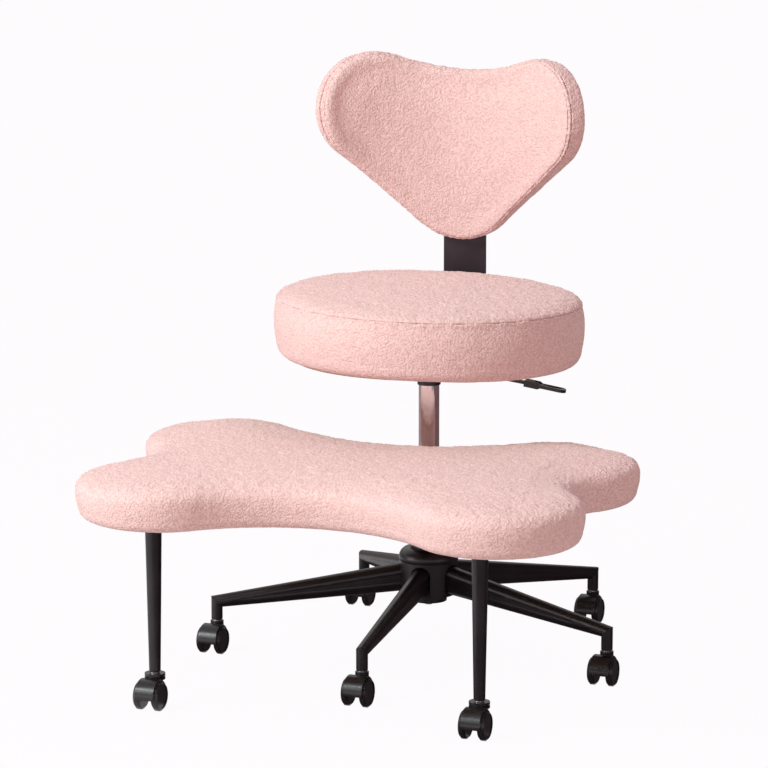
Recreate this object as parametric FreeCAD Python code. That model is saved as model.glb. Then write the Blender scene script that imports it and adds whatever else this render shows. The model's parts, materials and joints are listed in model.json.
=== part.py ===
import FreeCAD, Part
import math
import os

# Cross-legged office chair: a round swivel seat with a heart-shaped backrest on a gas lift,
# and a bow-shaped leg rest that swings round the column on its own two castered legs.
# Millimetres, +Z up, floor at Z = 0, column axis on Z, the leg rest reaches towards -Y.

# How the three turning groups stand
BASE_TURN = 3.2
SEAT_TURN = 7.0
LEG_REST_TURN = 2.5

# Clearances
RUNNING_FIT = 0.05
SEATED_FIT = 0.05
MOVING_GAP = 0.3
CUSHION_GAP = 0.3
SCREW_PLAY = 0.25
BAR_LAND_PLAY = 1.0

# How far a cutter runs past the face that it opens
OVERCUT = 1.0

# Five-arm base
ARM_COUNT = 5
ARM_REACH = 290.0
ARM_ROOT_REACH = 28.0
ARM_ROOT_Z = 105.5
ARM_ROOT_WIDTH = 24.0
ARM_ROOT_HEIGHT = 40.0
ARM_TIP_Z = 69.5
ARM_TIP_WIDTH = 15.5
ARM_TIP_HEIGHT = 17.0
ARM_SIDE_RELIEF = 0.25
POST_DIAMETER = 15.5
POST_BOTTOM = 44.5
POST_CHAMFER = 1.0
HUB_DIAMETER = 80.0
HUB_NECK_DIAMETER = 58.0
HUB_BOTTOM = 80.5
HUB_SHOULDER = 128.5
HUB_TOP = 146.5
HUB_SHOULDER_SWELL = 0.75
HUB_MOUTH_GAP = 2.0
HUB_MOUTH_DEPTH = 6.0

# Column
TUBE_DIAMETER = 50.0
TUBE_WALL = 2.0
TUBE_BOTTOM = 72.0
TUBE_TOP = 268.5
TUBE_FLOOR = 4.0
TUBE_FLOOR_HOLE = 13.0
STOP_RING_DIAMETER = 62.0
STOP_RING_Z = 170.5
STOP_RING_HEIGHT = 7.0
BUSH_LENGTH = 60.0
BUSH_RIM_HEIGHT = 2.5
GAS_DIAMETER = 28.0
GAS_BOTTOM = 144.5
GAS_TAPER_LENGTH = 16.5
GAS_TAPER_DROP = 0.6
GAS_BORE = 24.0
GAS_GLAND = 8.0
GAS_HEAD = 26.0
PISTON_HEIGHT = 12.0
ROD_DIAMETER = 10.0
ROD_COLLAR_DIAMETER = 24.0
ROD_COLLAR_HEIGHT = 4.0
ROD_TAIL = 6.0
BEARING_OUTER = 32.0
BEARING_HEIGHT = 6.0
CLIP_DIAMETER = 17.0
CLIP_HEIGHT = 1.6
CLIP_GROOVE_DEPTH = 1.0
LIFT_UP = 60.0
RELEASE_PIN_DIAMETER = 8.0
RELEASE_PIN_LENGTH = 18.5
RELEASE_PIN_RISE = 5.7
RELEASE_PIN_TIP = 3.0
RELEASE_BORE_ROOM = 4.0

# Seat
SEAT_RADIUS = 210.0
SEAT_BOTTOM = 409.5
SEAT_SEAM_HEIGHT = 80.0
SEAT_SEAM_DEPTH = 3.5
SEAT_CROWN_HEIGHT = 103.0
SEAT_CROWN_FLAT = 16.0
SEAT_EDGE_DROP = 16.0
SEAT_UNDER_ROLL = 20.0
BOARD_THICKNESS = 12.0
BOARD_PROUD = 0.3
SEAT_BOARD_RADIUS = 184.0
PLATE_WIDTH = 150.0
PLATE_THICKNESS = 3.0
PLATE_CORNER = 15.0
PLATE_HOLE_SPACING = 120.0
PLATE_WINDOW = 40.0
BOX_LENGTH = 68.0
BOX_WIDTH = 56.0
BOX_WALL = 3.0
BOX_DEPTH = 27.0
SOCKET_DIAMETER = 42.0
SOCKET_LIP_DIAMETER = 31.6
SOCKET_LIP_HEIGHT = 8.0
SOCKET_DEPTH = 37.5

# Height lever
LEVER_PIVOT_X = 28.0
LEVER_PIVOT_DEPTH = 11.5
LEVER_DROOP = 9.7
LEVER_WIDTH = 10.0
LEVER_THICKNESS = 3.2
LEVER_INNER = 8.0
LEVER_BARREL = 10.0
LEVER_BARREL_LENGTH = 24.0
LEVER_TIP_X = 150.0
LEVER_PIN_DIAMETER = 6.0
LEVER_PIN_HEAD = 10.0
LEVER_PIN_HEAD_HEIGHT = 2.0
GRIP_START_X = 133.0
GRIP_LENGTH = 57.0
GRIP_BLOCK_LENGTH = 19.0
GRIP_BLOCK_HEIGHT = 8.5
GRIP_PADDLE_HEIGHT = 4.2
GRIP_WIDTH = 17.0
GRIP_SCOOP = 1.0

# Backrest
BAR_SEAT_GAP = 2.0
BACK_RADIUS = 220.0
BACK_THICKNESS = 32.0
BACK_CROWN = 5.0
BACK_ROLL = 11.0
BACK_HALF_SECTIONS = 8
BACK_END_SHARE = 0.9985
HEART_TIP_RISE = 207.0
HEART_TIP_RADIUS = 74.5
HEART_LOBE_OUT = 114.8
HEART_LOBE_RISE = 316.0
HEART_LOBE_RADIUS = 79.0
HEART_NOTCH_BLEND = 219.0
HEART_FLANK_BLEND = 860.0
BACK_BOARD_INSET = 30.0
BACK_BOARD_THICKNESS = 6.0
BACK_LAND_DEPTH = 1.0
BAR_WIDTH = 60.0
BAR_THICKNESS = 5.0
BAR_START_Y = 86.0
BAR_BEND = 17.5
BAR_RISE = 305.0
BAR_END_ROUND = 14.0
BACK_SCREW_DROP = 30.0
BACK_SCREW_SPACING = 80.0
BAR_SCREW_SPACING = 34.0
BAR_SCREW_FRONT_Y = 100.0
BAR_SCREW_REAR_Y = 160.0

# Leg rest
PAD_SHIFT_X = -14.4
LEG_SHIFT_X = -10.3
PAD_BOTTOM = 250.5
PAD_HEIGHT = 64.5
PAD_CROWN = 3.0
PAD_EDGE = 27.0
PAD_UNDER_EDGE = 16.0
PAD_FRONT_OUT = 222.6
PAD_FRONT_Y = -375.3
PAD_FRONT_RADIUS = 114.6
PAD_BACK_OUT = 228.4
PAD_BACK_Y = -118.4
PAD_BACK_RADIUS = 110.7
PAD_FRONT_BLEND = 206.6
PAD_SIDE_BLEND = 86.4
PAD_BACK_BLEND = 231.5
PAD_BOARD_INSET = 32.0
LEG_OUT = 219.8
LEG_Y = -392.8
LEG_TOP_DIAMETER = 22.0
LEG_FOOT_DIAMETER = 15.0
LEG_FOOT_Z = 47.5
LEG_CHAMFER = 1.5
LEG_FLANGE_DIAMETER = 64.0
LEG_FLANGE_THICKNESS = 3.0
LEG_SCREW_CIRCLE = 46.0
LEG_SCREWS = 3
SWING_BUSH_WALL = 4.0
SWING_BUSH_RIM = 3.0
SWING_RING_WALL = 4.0
SWING_RING_HEIGHT = 65.0
SWING_ARM_WIDTH = 50.0
SWING_ARM_HEIGHT = 24.0
SWING_ARM_WALL = 2.5
SWING_ARM_REACH = 262.0
SWING_PLATE_WIDTH = 140.0
SWING_PLATE_LENGTH = 84.0
SWING_PLATE_THICKNESS = 4.0
SWING_SCREW_INSET = 14.0

# Screws
SEAT_SCREW_DIAMETER = 6.0
SEAT_SCREW_HEAD = 11.0
SEAT_SCREW_HEAD_HEIGHT = 3.5
SEAT_SCREW_GRIP = 8.0
BACK_SCREW_GRIP = 4.0
PAD_SCREW_DIAMETER = 5.0
PAD_SCREW_HEAD = 10.0
PAD_SCREW_HEAD_HEIGHT = 3.0
PAD_SCREW_GRIP = 8.0

# Casters
WHEEL_DIAMETER = 38.0
WHEEL_WIDTH = 9.5
WHEEL_INNER_X = 8.0
WHEEL_BEVEL = 2.5
WHEEL_DISC_RECESS = 0.8
WHEEL_DISC_RADIUS = 14.5
AXLE_DIAMETER = 6.0
WHEEL_CAP = 2.5
CASTER_TRAIL = 15.0
HOOD_WIDTH = 28.0
HOOD_WALL = 2.0
HOOD_ROOM = 0.8
HOOD_SKIRT_Z = 17.5
HOOD_WEB = 14.4
HOOD_BOSS_DIAMETER = 14.0
HOOD_CHAMFER = 1.2
STEM_DIAMETER = 8.0
STEM_GRIP = 18.0
STEM_SINK = 20.0
STEM_RING_DIAMETER = 12.5
STEM_RING_HEIGHT = 1.2
COLLAR_FOOT_DIAMETER = 11.0
COLLAR_FLARE = 8.0
BASE_COLLAR_DIAMETER = 18.0
LEG_COLLAR_DIAMETER = 27.0
LEG_COLLAR_RING = 3.0
LEG_COLLAR_GROOVE = 2.0
LEG_COLLAR_WAIST = 21.0

# Sizes that follow from the ones above
SEAT_SEAM_Z = SEAT_BOTTOM + SEAT_SEAM_HEIGHT
SEAT_CROWN_Z = SEAT_BOTTOM + SEAT_CROWN_HEIGHT
BOX_BOTTOM = SEAT_BOTTOM - BOX_DEPTH
SOCKET_BOTTOM = SEAT_BOTTOM - SOCKET_DEPTH
LEVER_PIVOT_Z = SEAT_BOTTOM - LEVER_PIVOT_DEPTH
HEART_TIP_Z = SEAT_BOTTOM + HEART_TIP_RISE
HEART_LOBE_Z = SEAT_BOTTOM + HEART_LOBE_RISE
BAR_TOP = SEAT_BOTTOM + BAR_RISE
BACK_SCREW_HIGH = BAR_TOP - BACK_SCREW_DROP
BACK_SCREW_LOW = BACK_SCREW_HIGH - BACK_SCREW_SPACING
GAS_TOP = SOCKET_BOTTOM + GAS_TAPER_LENGTH
PISTON_Z = GAS_BOTTOM + GAS_GLAND + LIFT_UP + MOVING_GAP
BOARD_Z = SEAT_BOTTOM - BOARD_PROUD
BAR_FACE_Y = SEAT_RADIUS + BAR_SEAT_GAP
BACK_OUTER_RADIUS = BACK_RADIUS + BACK_THICKNESS
BACK_AXIS_Y = BAR_FACE_Y + BACK_LAND_DEPTH - BACK_OUTER_RADIUS
PAD_BOARD_Z = PAD_BOTTOM - BOARD_PROUD
SWING_BUSH_Z = STOP_RING_Z + STOP_RING_HEIGHT

V = FreeCAD.Vector
ORIGIN = V(0, 0, 0)
UP = V(0, 0, 1)
ACROSS = V(0, 1, 0)


def turned_about_column(shape, degrees):
    """Copy of a shape swung round the column axis."""
    copy = shape.copy()
    copy.rotate(ORIGIN, UP, degrees)
    return copy


def shifted(shape, x, y, z=0.0):
    """Copy of a shape moved along the three axes."""
    copy = shape.copy()
    copy.translate(V(x, y, z))
    return copy


def rod(diameter, start, end):
    """Round bar between two points."""
    along = end.sub(start)
    return Part.makeCylinder(diameter / 2, along.Length, start, along)


def post(diameter, bottom, top, x=0.0, y=0.0):
    """Upright round bar."""
    return rod(diameter, V(x, y, bottom), V(x, y, top))


def block(x_low, x_high, y_low, y_high, z_low, z_high):
    """Box between two corners."""
    return Part.makeBox(x_high - x_low, y_high - y_low, z_high - z_low, V(x_low, y_low, z_low))


def line(start, end):
    """Straight edge between two points."""
    return Part.makeLine(start, end)


def arc(start, middle, end):
    """Arc edge through three points."""
    return Part.Arc(start, middle, end).toShape()


def lathe(points):
    """Solid of revolution about Z from (radius, height) corners."""
    corners = [V(radius, 0, height) for radius, height in points]
    return Part.Face(Part.makePolygon(corners + corners[:1])).revolve(ORIGIN, UP, 360)


def axle_lathe(points):
    """Solid of revolution about X from (radius, station) corners."""
    solid = lathe(points)
    solid.rotate(ORIGIN, ACROSS, 90)
    return solid


def prism(points, depth):
    """Flat outline in the XZ plane, drawn out evenly to both sides of it."""
    corners = [V(x, -depth / 2, z) for x, z in points]
    return Part.Face(Part.makePolygon(corners + corners[:1])).extrude(V(0, depth, 0))


def half_space(point, normal):
    """Block on one side of a plane, large enough to take any of the base."""
    size = 2 * ARM_REACH
    slab = Part.makeBox(size, size, size, V(-size / 2, -size / 2, 0))
    slab.Placement = FreeCAD.Placement(point, FreeCAD.Rotation(UP, normal))
    return slab


def screw(head_point, direction, diameter, head, head_height, length):
    """Pan-head screw: the head lies behind head_point and the shank runs along direction."""
    shank = Part.makeCylinder(diameter / 2, length, head_point, direction)
    back = V(direction).multiply(-head_height)
    cap = Part.makeCylinder(head / 2, head_height, head_point.add(back), direction)
    return shank.fuse(cap).removeSplitter()


def blend_centre(first, second, blend):
    """Centre of the hollow arc that touches two round lobes on their outer side.

    The lobes are (x, y, radius) and follow each other anticlockwise.
    """
    along = V(second[0] - first[0], second[1] - first[1], 0)
    gap = along.Length
    along.normalize()
    outward = V(along.y, -along.x, 0)
    to_first = first[2] + blend
    to_second = second[2] + blend
    run = (to_first ** 2 - to_second ** 2 + gap ** 2) / (2 * gap)
    rise = math.sqrt(to_first ** 2 - run ** 2)
    return V(first[0], first[1], 0).add(along.multiply(run)).add(outward.multiply(rise))


def lobed_wire(lobes, blends, inset, z):
    """Closed outline of round lobes joined by hollow arcs, drawn in by inset at height z."""
    circles = []
    for index, lobe in enumerate(lobes):
        following = lobes[(index + 1) % len(lobes)]
        circles.append((V(lobe[0], lobe[1], 0), lobe[2] - inset, 1))
        circles.append((blend_centre(lobe, following, blends[index]), blends[index] + inset, -1))
    edges = []
    for index, (centre, radius, side) in enumerate(circles):
        before = circles[index - 1][0].sub(centre)
        after = circles[(index + 1) % len(circles)][0].sub(centre)
        start = math.atan2(before.y, before.x)
        sweep = (math.atan2(after.y, after.x) - start) * side % (2 * math.pi) * side
        spots = []
        for step in range(5):
            angle = start + sweep * step / 4
            spots.append(V(centre.x + radius * math.cos(angle), centre.y + radius * math.sin(angle), z))
        edges.append(arc(spots[0], spots[1], spots[2]))
        edges.append(arc(spots[2], spots[3], spots[4]))
    return Part.Wire(edges)


def arm_edges(x, grow):
    """Heights of the arm's round upper and lower edge lines at a reach of x, and their radius."""
    share = (x - ARM_ROOT_REACH) / (ARM_REACH - ARM_ROOT_REACH)
    z = ARM_ROOT_Z + (ARM_TIP_Z - ARM_ROOT_Z) * share
    width = ARM_ROOT_WIDTH + (ARM_TIP_WIDTH - ARM_ROOT_WIDTH) * share
    height = ARM_ROOT_HEIGHT + (ARM_TIP_HEIGHT - ARM_ROOT_HEIGHT) * share
    spread = (height - width) / 2
    return z + spread, z - spread, width / 2 + grow


def arm_pieces(start, end, grow=0.0):
    """Straight tapered stretch of a base arm along +X: flat sides, and two round edges."""
    high_start, low_start, radius_start = arm_edges(start, grow)
    high_end, low_end, radius_end = arm_edges(end, grow)
    edges = []
    for z_start, z_end in ((high_start, high_end), (low_start, low_end)):
        foot = V(start, 0, z_start)
        along = V(end, 0, z_end).sub(foot)
        edges.append(Part.makeCone(radius_start, radius_end, along.Length, foot, along))
    near = radius_start - ARM_SIDE_RELIEF
    far = radius_end - ARM_SIDE_RELIEF
    corners = [V(start, -near, low_start), V(start, near, low_start), V(start, near, high_start),
               V(start, -near, high_start), V(end, -far, low_end), V(end, far, low_end),
               V(end, far, high_end), V(end, -far, high_end)]
    sides = []
    for loop in ((0, 1, 2, 3), (4, 5, 6, 7), (0, 1, 5, 4), (1, 2, 6, 5), (2, 3, 7, 6), (3, 0, 4, 7)):
        ring = [corners[index] for index in loop]
        sides.append(Part.Face(Part.makePolygon(ring + ring[:1])))
    return [Part.Solid(Part.Shell(sides))] + edges


def arm_angles():
    """Direction of each arm in degrees from +X, the first one nearly straight ahead."""
    return [BASE_TURN - 90 + index * 360 / ARM_COUNT for index in range(ARM_COUNT)]


def base_arm():
    """Tapered arm along +X with its mitred corner and the caster post."""
    corner = V(ARM_REACH, 0, ARM_TIP_Z)
    fall = (ARM_TIP_Z - ARM_ROOT_Z) / (ARM_REACH - ARM_ROOT_REACH)
    inward = V(-1, 0, -fall).normalize()
    across_mitre = inward.sub(V(0, 0, -1)).normalize()
    web, upper, lower = arm_pieces(ARM_ROOT_REACH, ARM_REACH + POST_DIAMETER)
    tube = web.fuse([upper, lower]).removeSplitter()
    tube = tube.common(half_space(corner, across_mitre))
    radius = POST_DIAMETER / 2
    post_top = ARM_TIP_Z + POST_DIAMETER
    upright = lathe([(0, POST_BOTTOM), (radius - POST_CHAMFER, POST_BOTTOM),
                     (radius, POST_BOTTOM + POST_CHAMFER), (radius, post_top), (0, post_top)])
    upright = shifted(upright, ARM_REACH, 0).common(half_space(corner, across_mitre.multiply(-1)))
    socket_top = POST_BOTTOM + STEM_GRIP + SEATED_FIT
    socket = post(STEM_DIAMETER + 2 * SEATED_FIT, POST_BOTTOM - OVERCUT, socket_top, ARM_REACH)
    return tube.fuse(upright).removeSplitter().cut(socket)


def base_hub():
    """Round hub with a shouldered top, a socket for each arm and an arched mouth round it."""
    radius = HUB_DIAMETER / 2
    neck = HUB_NECK_DIAMETER / 2
    bore = TUBE_DIAMETER / 2 + SEATED_FIT
    swell_radius = neck + (radius - neck) * HUB_SHOULDER_SWELL
    swell_z = HUB_SHOULDER + (HUB_TOP - HUB_SHOULDER) * HUB_SHOULDER_SWELL
    profile = [
        line(V(bore, 0, HUB_BOTTOM), V(radius, 0, HUB_BOTTOM)),
        line(V(radius, 0, HUB_BOTTOM), V(radius, 0, HUB_SHOULDER)),
        arc(V(radius, 0, HUB_SHOULDER), V(swell_radius, 0, swell_z), V(neck, 0, HUB_TOP)),
        line(V(neck, 0, HUB_TOP), V(bore, 0, HUB_TOP)),
        line(V(bore, 0, HUB_TOP), V(bore, 0, HUB_BOTTOM)),
    ]
    hub = Part.Face(Part.Wire(profile)).revolve(ORIGIN, UP, 360)
    mouth_start = radius - HUB_MOUTH_DEPTH
    mouth_end = radius + HUB_MOUTH_DEPTH
    half_mouth = ARM_ROOT_WIDTH / 2 + HUB_MOUTH_GAP
    gate = block(mouth_start, mouth_end, -half_mouth, half_mouth, HUB_BOTTOM - OVERCUT, ARM_ROOT_Z)
    cutters = arm_pieces(mouth_start, mouth_end, HUB_MOUTH_GAP)
    cutters.extend(arm_pieces(ARM_ROOT_REACH - SEATED_FIT, mouth_end, SEATED_FIT))
    cutters.append(gate)
    for angle in arm_angles():
        for cutter in cutters:
            hub = hub.cut(turned_about_column(cutter, angle))
    return hub


def stand_tube():
    """Column tube with a closed floor and the ring that carries the leg rest's bush."""
    inner = TUBE_DIAMETER - 2 * TUBE_WALL
    tube = post(TUBE_DIAMETER, TUBE_BOTTOM, TUBE_TOP)
    tube = tube.fuse(post(STOP_RING_DIAMETER, STOP_RING_Z, STOP_RING_Z + STOP_RING_HEIGHT))
    tube = tube.cut(post(inner, TUBE_BOTTOM + TUBE_FLOOR, TUBE_TOP + OVERCUT))
    return tube.cut(post(TUBE_FLOOR_HOLE, TUBE_BOTTOM - OVERCUT, TUBE_BOTTOM + TUBE_FLOOR + OVERCUT))


def guide_bush():
    """Plastic sleeve in the tube's mouth that guides the gas cylinder."""
    body = post(TUBE_DIAMETER - 2 * TUBE_WALL - 2 * SEATED_FIT, TUBE_TOP - BUSH_LENGTH, TUBE_TOP)
    body = body.fuse(post(TUBE_DIAMETER, TUBE_TOP, TUBE_TOP + BUSH_RIM_HEIGHT)).removeSplitter()
    bore = GAS_DIAMETER + 2 * RUNNING_FIT
    return body.cut(post(bore, TUBE_TOP - BUSH_LENGTH - OVERCUT, TUBE_TOP + BUSH_RIM_HEIGHT + OVERCUT))


def thrust_bearing():
    """Flat ring on the tube's floor that the piston rod's collar turns on."""
    floor = TUBE_BOTTOM + TUBE_FLOOR
    ring = post(BEARING_OUTER, floor, floor + BEARING_HEIGHT)
    return ring.cut(post(TUBE_FLOOR_HOLE, floor - OVERCUT, floor + BEARING_HEIGHT + OVERCUT))


def piston_rod():
    """Rod with its thrust collar, piston head and the groove for the retaining clip."""
    radius = ROD_DIAMETER / 2
    collar_z = TUBE_BOTTOM + TUBE_FLOOR + BEARING_HEIGHT
    clip_top = TUBE_BOTTOM - MOVING_GAP
    groove_bottom = clip_top - CLIP_HEIGHT - SEATED_FIT
    groove_top = clip_top + SEATED_FIT
    core = radius - CLIP_GROOVE_DEPTH
    piston = GAS_BORE / 2 - RUNNING_FIT
    return lathe([
        (0, TUBE_BOTTOM - ROD_TAIL), (radius, TUBE_BOTTOM - ROD_TAIL), (radius, groove_bottom),
        (core, groove_bottom), (core, groove_top), (radius, groove_top), (radius, collar_z),
        (ROD_COLLAR_DIAMETER / 2, collar_z), (ROD_COLLAR_DIAMETER / 2, collar_z + ROD_COLLAR_HEIGHT),
        (radius, collar_z + ROD_COLLAR_HEIGHT), (radius, PISTON_Z), (piston, PISTON_Z),
        (piston, PISTON_Z + PISTON_HEIGHT), (0, PISTON_Z + PISTON_HEIGHT),
    ])


def rod_clip():
    """Retaining clip under the tube's floor."""
    top = TUBE_BOTTOM - MOVING_GAP
    core = ROD_DIAMETER - 2 * CLIP_GROOVE_DEPTH + 2 * SEATED_FIT
    ring = post(CLIP_DIAMETER, top - CLIP_HEIGHT, top)
    ring = ring.cut(post(core, top - CLIP_HEIGHT - OVERCUT, top + OVERCUT))
    return ring.cut(block(0, CLIP_DIAMETER, -core / 2, core / 2, top - CLIP_HEIGHT - OVERCUT, top + OVERCUT))


def taper_radius(z):
    """Radius of the gas cylinder's taper at a height."""
    return GAS_DIAMETER / 2 - GAS_TAPER_DROP * (z - SOCKET_BOTTOM) / GAS_TAPER_LENGTH


def gas_cylinder():
    """Sliding cylinder with a tapered head, the gland below and the release bore above."""
    body = lathe([(0, GAS_BOTTOM), (GAS_DIAMETER / 2, GAS_BOTTOM), (GAS_DIAMETER / 2, SOCKET_BOTTOM),
                  (taper_radius(GAS_TOP), GAS_TOP), (0, GAS_TOP)])
    body = body.cut(post(GAS_BORE, GAS_BOTTOM + GAS_GLAND, GAS_TOP - GAS_HEAD))
    gland_top = GAS_BOTTOM + GAS_GLAND + OVERCUT
    body = body.cut(post(ROD_DIAMETER + 2 * RUNNING_FIT, GAS_BOTTOM - OVERCUT, gland_top))
    bore_bottom = GAS_TOP + RELEASE_PIN_RISE - RELEASE_PIN_LENGTH - RELEASE_BORE_ROOM
    return body.cut(post(RELEASE_PIN_DIAMETER + 2 * RUNNING_FIT, bore_bottom, GAS_TOP + OVERCUT))


def gas_release_pin():
    """Push pin on top of the gas cylinder, with a narrow crowned tip."""
    top = GAS_TOP + RELEASE_PIN_RISE
    radius = RELEASE_PIN_DIAMETER / 2
    return lathe([(0, top - RELEASE_PIN_LENGTH), (radius, top - RELEASE_PIN_LENGTH),
                  (radius, top - RELEASE_PIN_TIP / 2), (RELEASE_PIN_TIP / 2, top), (0, top)])


def seat_cushion():
    """Round cushion: crowned top, drawn-in seam near the top edge, full side and rolled lower edge."""
    seam_radius = SEAT_RADIUS - SEAT_SEAM_DEPTH
    edge_radius = SEAT_RADIUS - SEAT_EDGE_DROP / 2
    edge_z = SEAT_SEAM_Z + SEAT_SEAM_DEPTH
    roll = SEAT_UNDER_ROLL
    roll_mid = roll * (1 - math.sqrt(0.5))
    pocket = SEAT_BOARD_RADIUS + CUSHION_GAP
    pocket_z = BOARD_Z + BOARD_THICKNESS + CUSHION_GAP
    crown_height = SEAT_CROWN_Z - edge_z
    crown_radius = (edge_radius ** 2 + crown_height ** 2) / (2 * crown_height)
    crown_drop = crown_radius - math.sqrt(crown_radius ** 2 - edge_radius ** 2 / 4)
    flat_radius = SEAT_CROWN_FLAT / 2
    flat_z = SEAT_CROWN_Z - crown_radius + math.sqrt(crown_radius ** 2 - flat_radius ** 2)
    band_mid = (SEAT_SEAM_Z + SEAT_BOTTOM + roll) / 2
    profile = [
        line(V(0, 0, flat_z), V(flat_radius, 0, flat_z)),
        arc(V(flat_radius, 0, flat_z), V(edge_radius / 2, 0, SEAT_CROWN_Z - crown_drop),
            V(edge_radius, 0, edge_z)),
        line(V(edge_radius, 0, edge_z), V(seam_radius, 0, SEAT_SEAM_Z)),
        arc(V(seam_radius, 0, SEAT_SEAM_Z), V(SEAT_RADIUS, 0, band_mid),
            V(seam_radius, 0, SEAT_BOTTOM + roll)),
        arc(V(seam_radius, 0, SEAT_BOTTOM + roll), V(seam_radius - roll_mid, 0, SEAT_BOTTOM + roll_mid),
            V(seam_radius - roll, 0, SEAT_BOTTOM)),
        line(V(seam_radius - roll, 0, SEAT_BOTTOM), V(pocket, 0, SEAT_BOTTOM)),
        line(V(pocket, 0, SEAT_BOTTOM), V(pocket, 0, pocket_z)),
        line(V(pocket, 0, pocket_z), V(0, 0, pocket_z)),
        line(V(0, 0, pocket_z), V(0, 0, flat_z)),
    ]
    return Part.Face(Part.Wire(profile)).revolve(ORIGIN, UP, 360)


def seat_screw_spots():
    """Places of the screws under the seat: the plate's corners, then the backrest bar's foot."""
    half = PLATE_HOLE_SPACING / 2
    spots = [(x, y, BOARD_Z - PLATE_THICKNESS) for x in (-half, half) for y in (-half, half)]
    for y in (BAR_SCREW_FRONT_Y, BAR_SCREW_REAR_Y):
        for x in (-BAR_SCREW_SPACING / 2, BAR_SCREW_SPACING / 2):
            spots.append((x, y, BOARD_Z - BAR_THICKNESS))
    return spots


def back_screw_spots():
    """Places of the screws that hold the backrest board to the bar."""
    half = BAR_SCREW_SPACING / 2
    heights = (BACK_SCREW_LOW, BACK_SCREW_HIGH)
    return [(x, BAR_FACE_Y + BAR_THICKNESS, z) for x in (-half, half) for z in heights]


def seat_screws():
    """Every screw of the seat group, each a separate solid."""
    solids = []
    for x, y, z in seat_screw_spots():
        length = BOARD_Z - z + SEAT_SCREW_GRIP
        solids.append(screw(V(x, y, z), UP, SEAT_SCREW_DIAMETER, SEAT_SCREW_HEAD,
                            SEAT_SCREW_HEAD_HEIGHT, length))
    for x, y, z in back_screw_spots():
        length = BAR_THICKNESS + BACK_SCREW_GRIP
        solids.append(screw(V(x, y, z), V(0, -1, 0), SEAT_SCREW_DIAMETER, SEAT_SCREW_HEAD,
                            SEAT_SCREW_HEAD_HEIGHT, length))
    return Part.makeCompound(solids)


def seat_screw_holes(play):
    """Cutters for the seat group's screws with a given play all round."""
    cutters = []
    for x, y, z in seat_screw_spots():
        top = BOARD_Z + SEAT_SCREW_GRIP + play
        cutters.append(post(SEAT_SCREW_DIAMETER + 2 * play, z - OVERCUT, top, x, y))
    for x, y, z in back_screw_spots():
        tip = V(x, y - BAR_THICKNESS - BACK_SCREW_GRIP - play, z)
        cutters.append(rod(SEAT_SCREW_DIAMETER + 2 * play, tip, V(x, y + OVERCUT, z)))
    return cutters


def seat_board():
    """Round plywood board in the underside of the cushion."""
    return post(2 * SEAT_BOARD_RADIUS, BOARD_Z, BOARD_Z + BOARD_THICKNESS).cut(seat_screw_holes(SEATED_FIT))


def seat_plate():
    """Pressed plate under the board with the lever box and the tapered socket of the gas cylinder."""
    half = PLATE_WIDTH / 2
    top = BOARD_Z
    under = BOARD_Z - PLATE_THICKNESS
    plate = block(-half, half, -half, half, under, top)
    corners = [edge for edge in plate.Edges if abs(edge.tangentAt(edge.FirstParameter).z) > 0.9]
    plate = plate.makeFillet(PLATE_CORNER, corners)
    long_half = BOX_LENGTH / 2
    wide_half = BOX_WIDTH / 2
    inner_long = long_half - BOX_WALL
    inner_wide = wide_half - BOX_WALL
    body = block(-long_half, long_half, -wide_half, wide_half, BOX_BOTTOM, under)
    floor = BOX_BOTTOM + BOX_WALL
    body = body.cut(block(-inner_long, inner_long, -inner_wide, inner_wide, floor, under + OVERCUT))
    socket = post(SOCKET_DIAMETER, SOCKET_BOTTOM + SOCKET_LIP_HEIGHT, BOX_BOTTOM)
    socket = socket.fuse(post(SOCKET_LIP_DIAMETER, SOCKET_BOTTOM, SOCKET_BOTTOM + SOCKET_LIP_HEIGHT))
    plate = plate.fuse(body).fuse(socket).removeSplitter()
    low = SOCKET_BOTTOM - OVERCUT
    high = BOX_BOTTOM + BOX_WALL + OVERCUT
    taper = lathe([(0, low), (taper_radius(low) + SEATED_FIT, low),
                   (taper_radius(high) + SEATED_FIT, high), (0, high)])
    slot_half = LEVER_BARREL_LENGTH / 2 + MOVING_GAP
    slot_low = LEVER_PIVOT_Z - LEVER_BARREL
    slot = block(LEVER_PIVOT_X - LEVER_BARREL, long_half + OVERCUT, -slot_half, slot_half, slot_low, under)
    window = PLATE_WINDOW / 2
    opening = block(-window, window, -window / 2, window / 2, under - OVERCUT, top + OVERCUT)
    pivot = rod(LEVER_PIN_DIAMETER + 2 * SEATED_FIT, V(LEVER_PIVOT_X, -half, LEVER_PIVOT_Z),
                V(LEVER_PIVOT_X, half, LEVER_PIVOT_Z))
    return plate.cut([taper, slot, opening, pivot] + seat_screw_holes(SCREW_PLAY))


def lever_profile():
    """Side outline of the lever strip: level over the release pin, then drooping outwards."""
    half = LEVER_THICKNESS / 2
    fall = math.tan(math.radians(LEVER_DROOP))
    inner_low = GAS_TOP + RELEASE_PIN_RISE + MOVING_GAP
    tip_z = LEVER_PIVOT_Z - (LEVER_TIP_X - LEVER_PIVOT_X) * fall
    return [(-LEVER_INNER, inner_low), (LEVER_PIVOT_X, inner_low), (LEVER_TIP_X, tip_z - half),
            (LEVER_TIP_X, tip_z + half), (LEVER_PIVOT_X, inner_low + LEVER_THICKNESS + half),
            (-LEVER_INNER, inner_low + LEVER_THICKNESS)]


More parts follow.
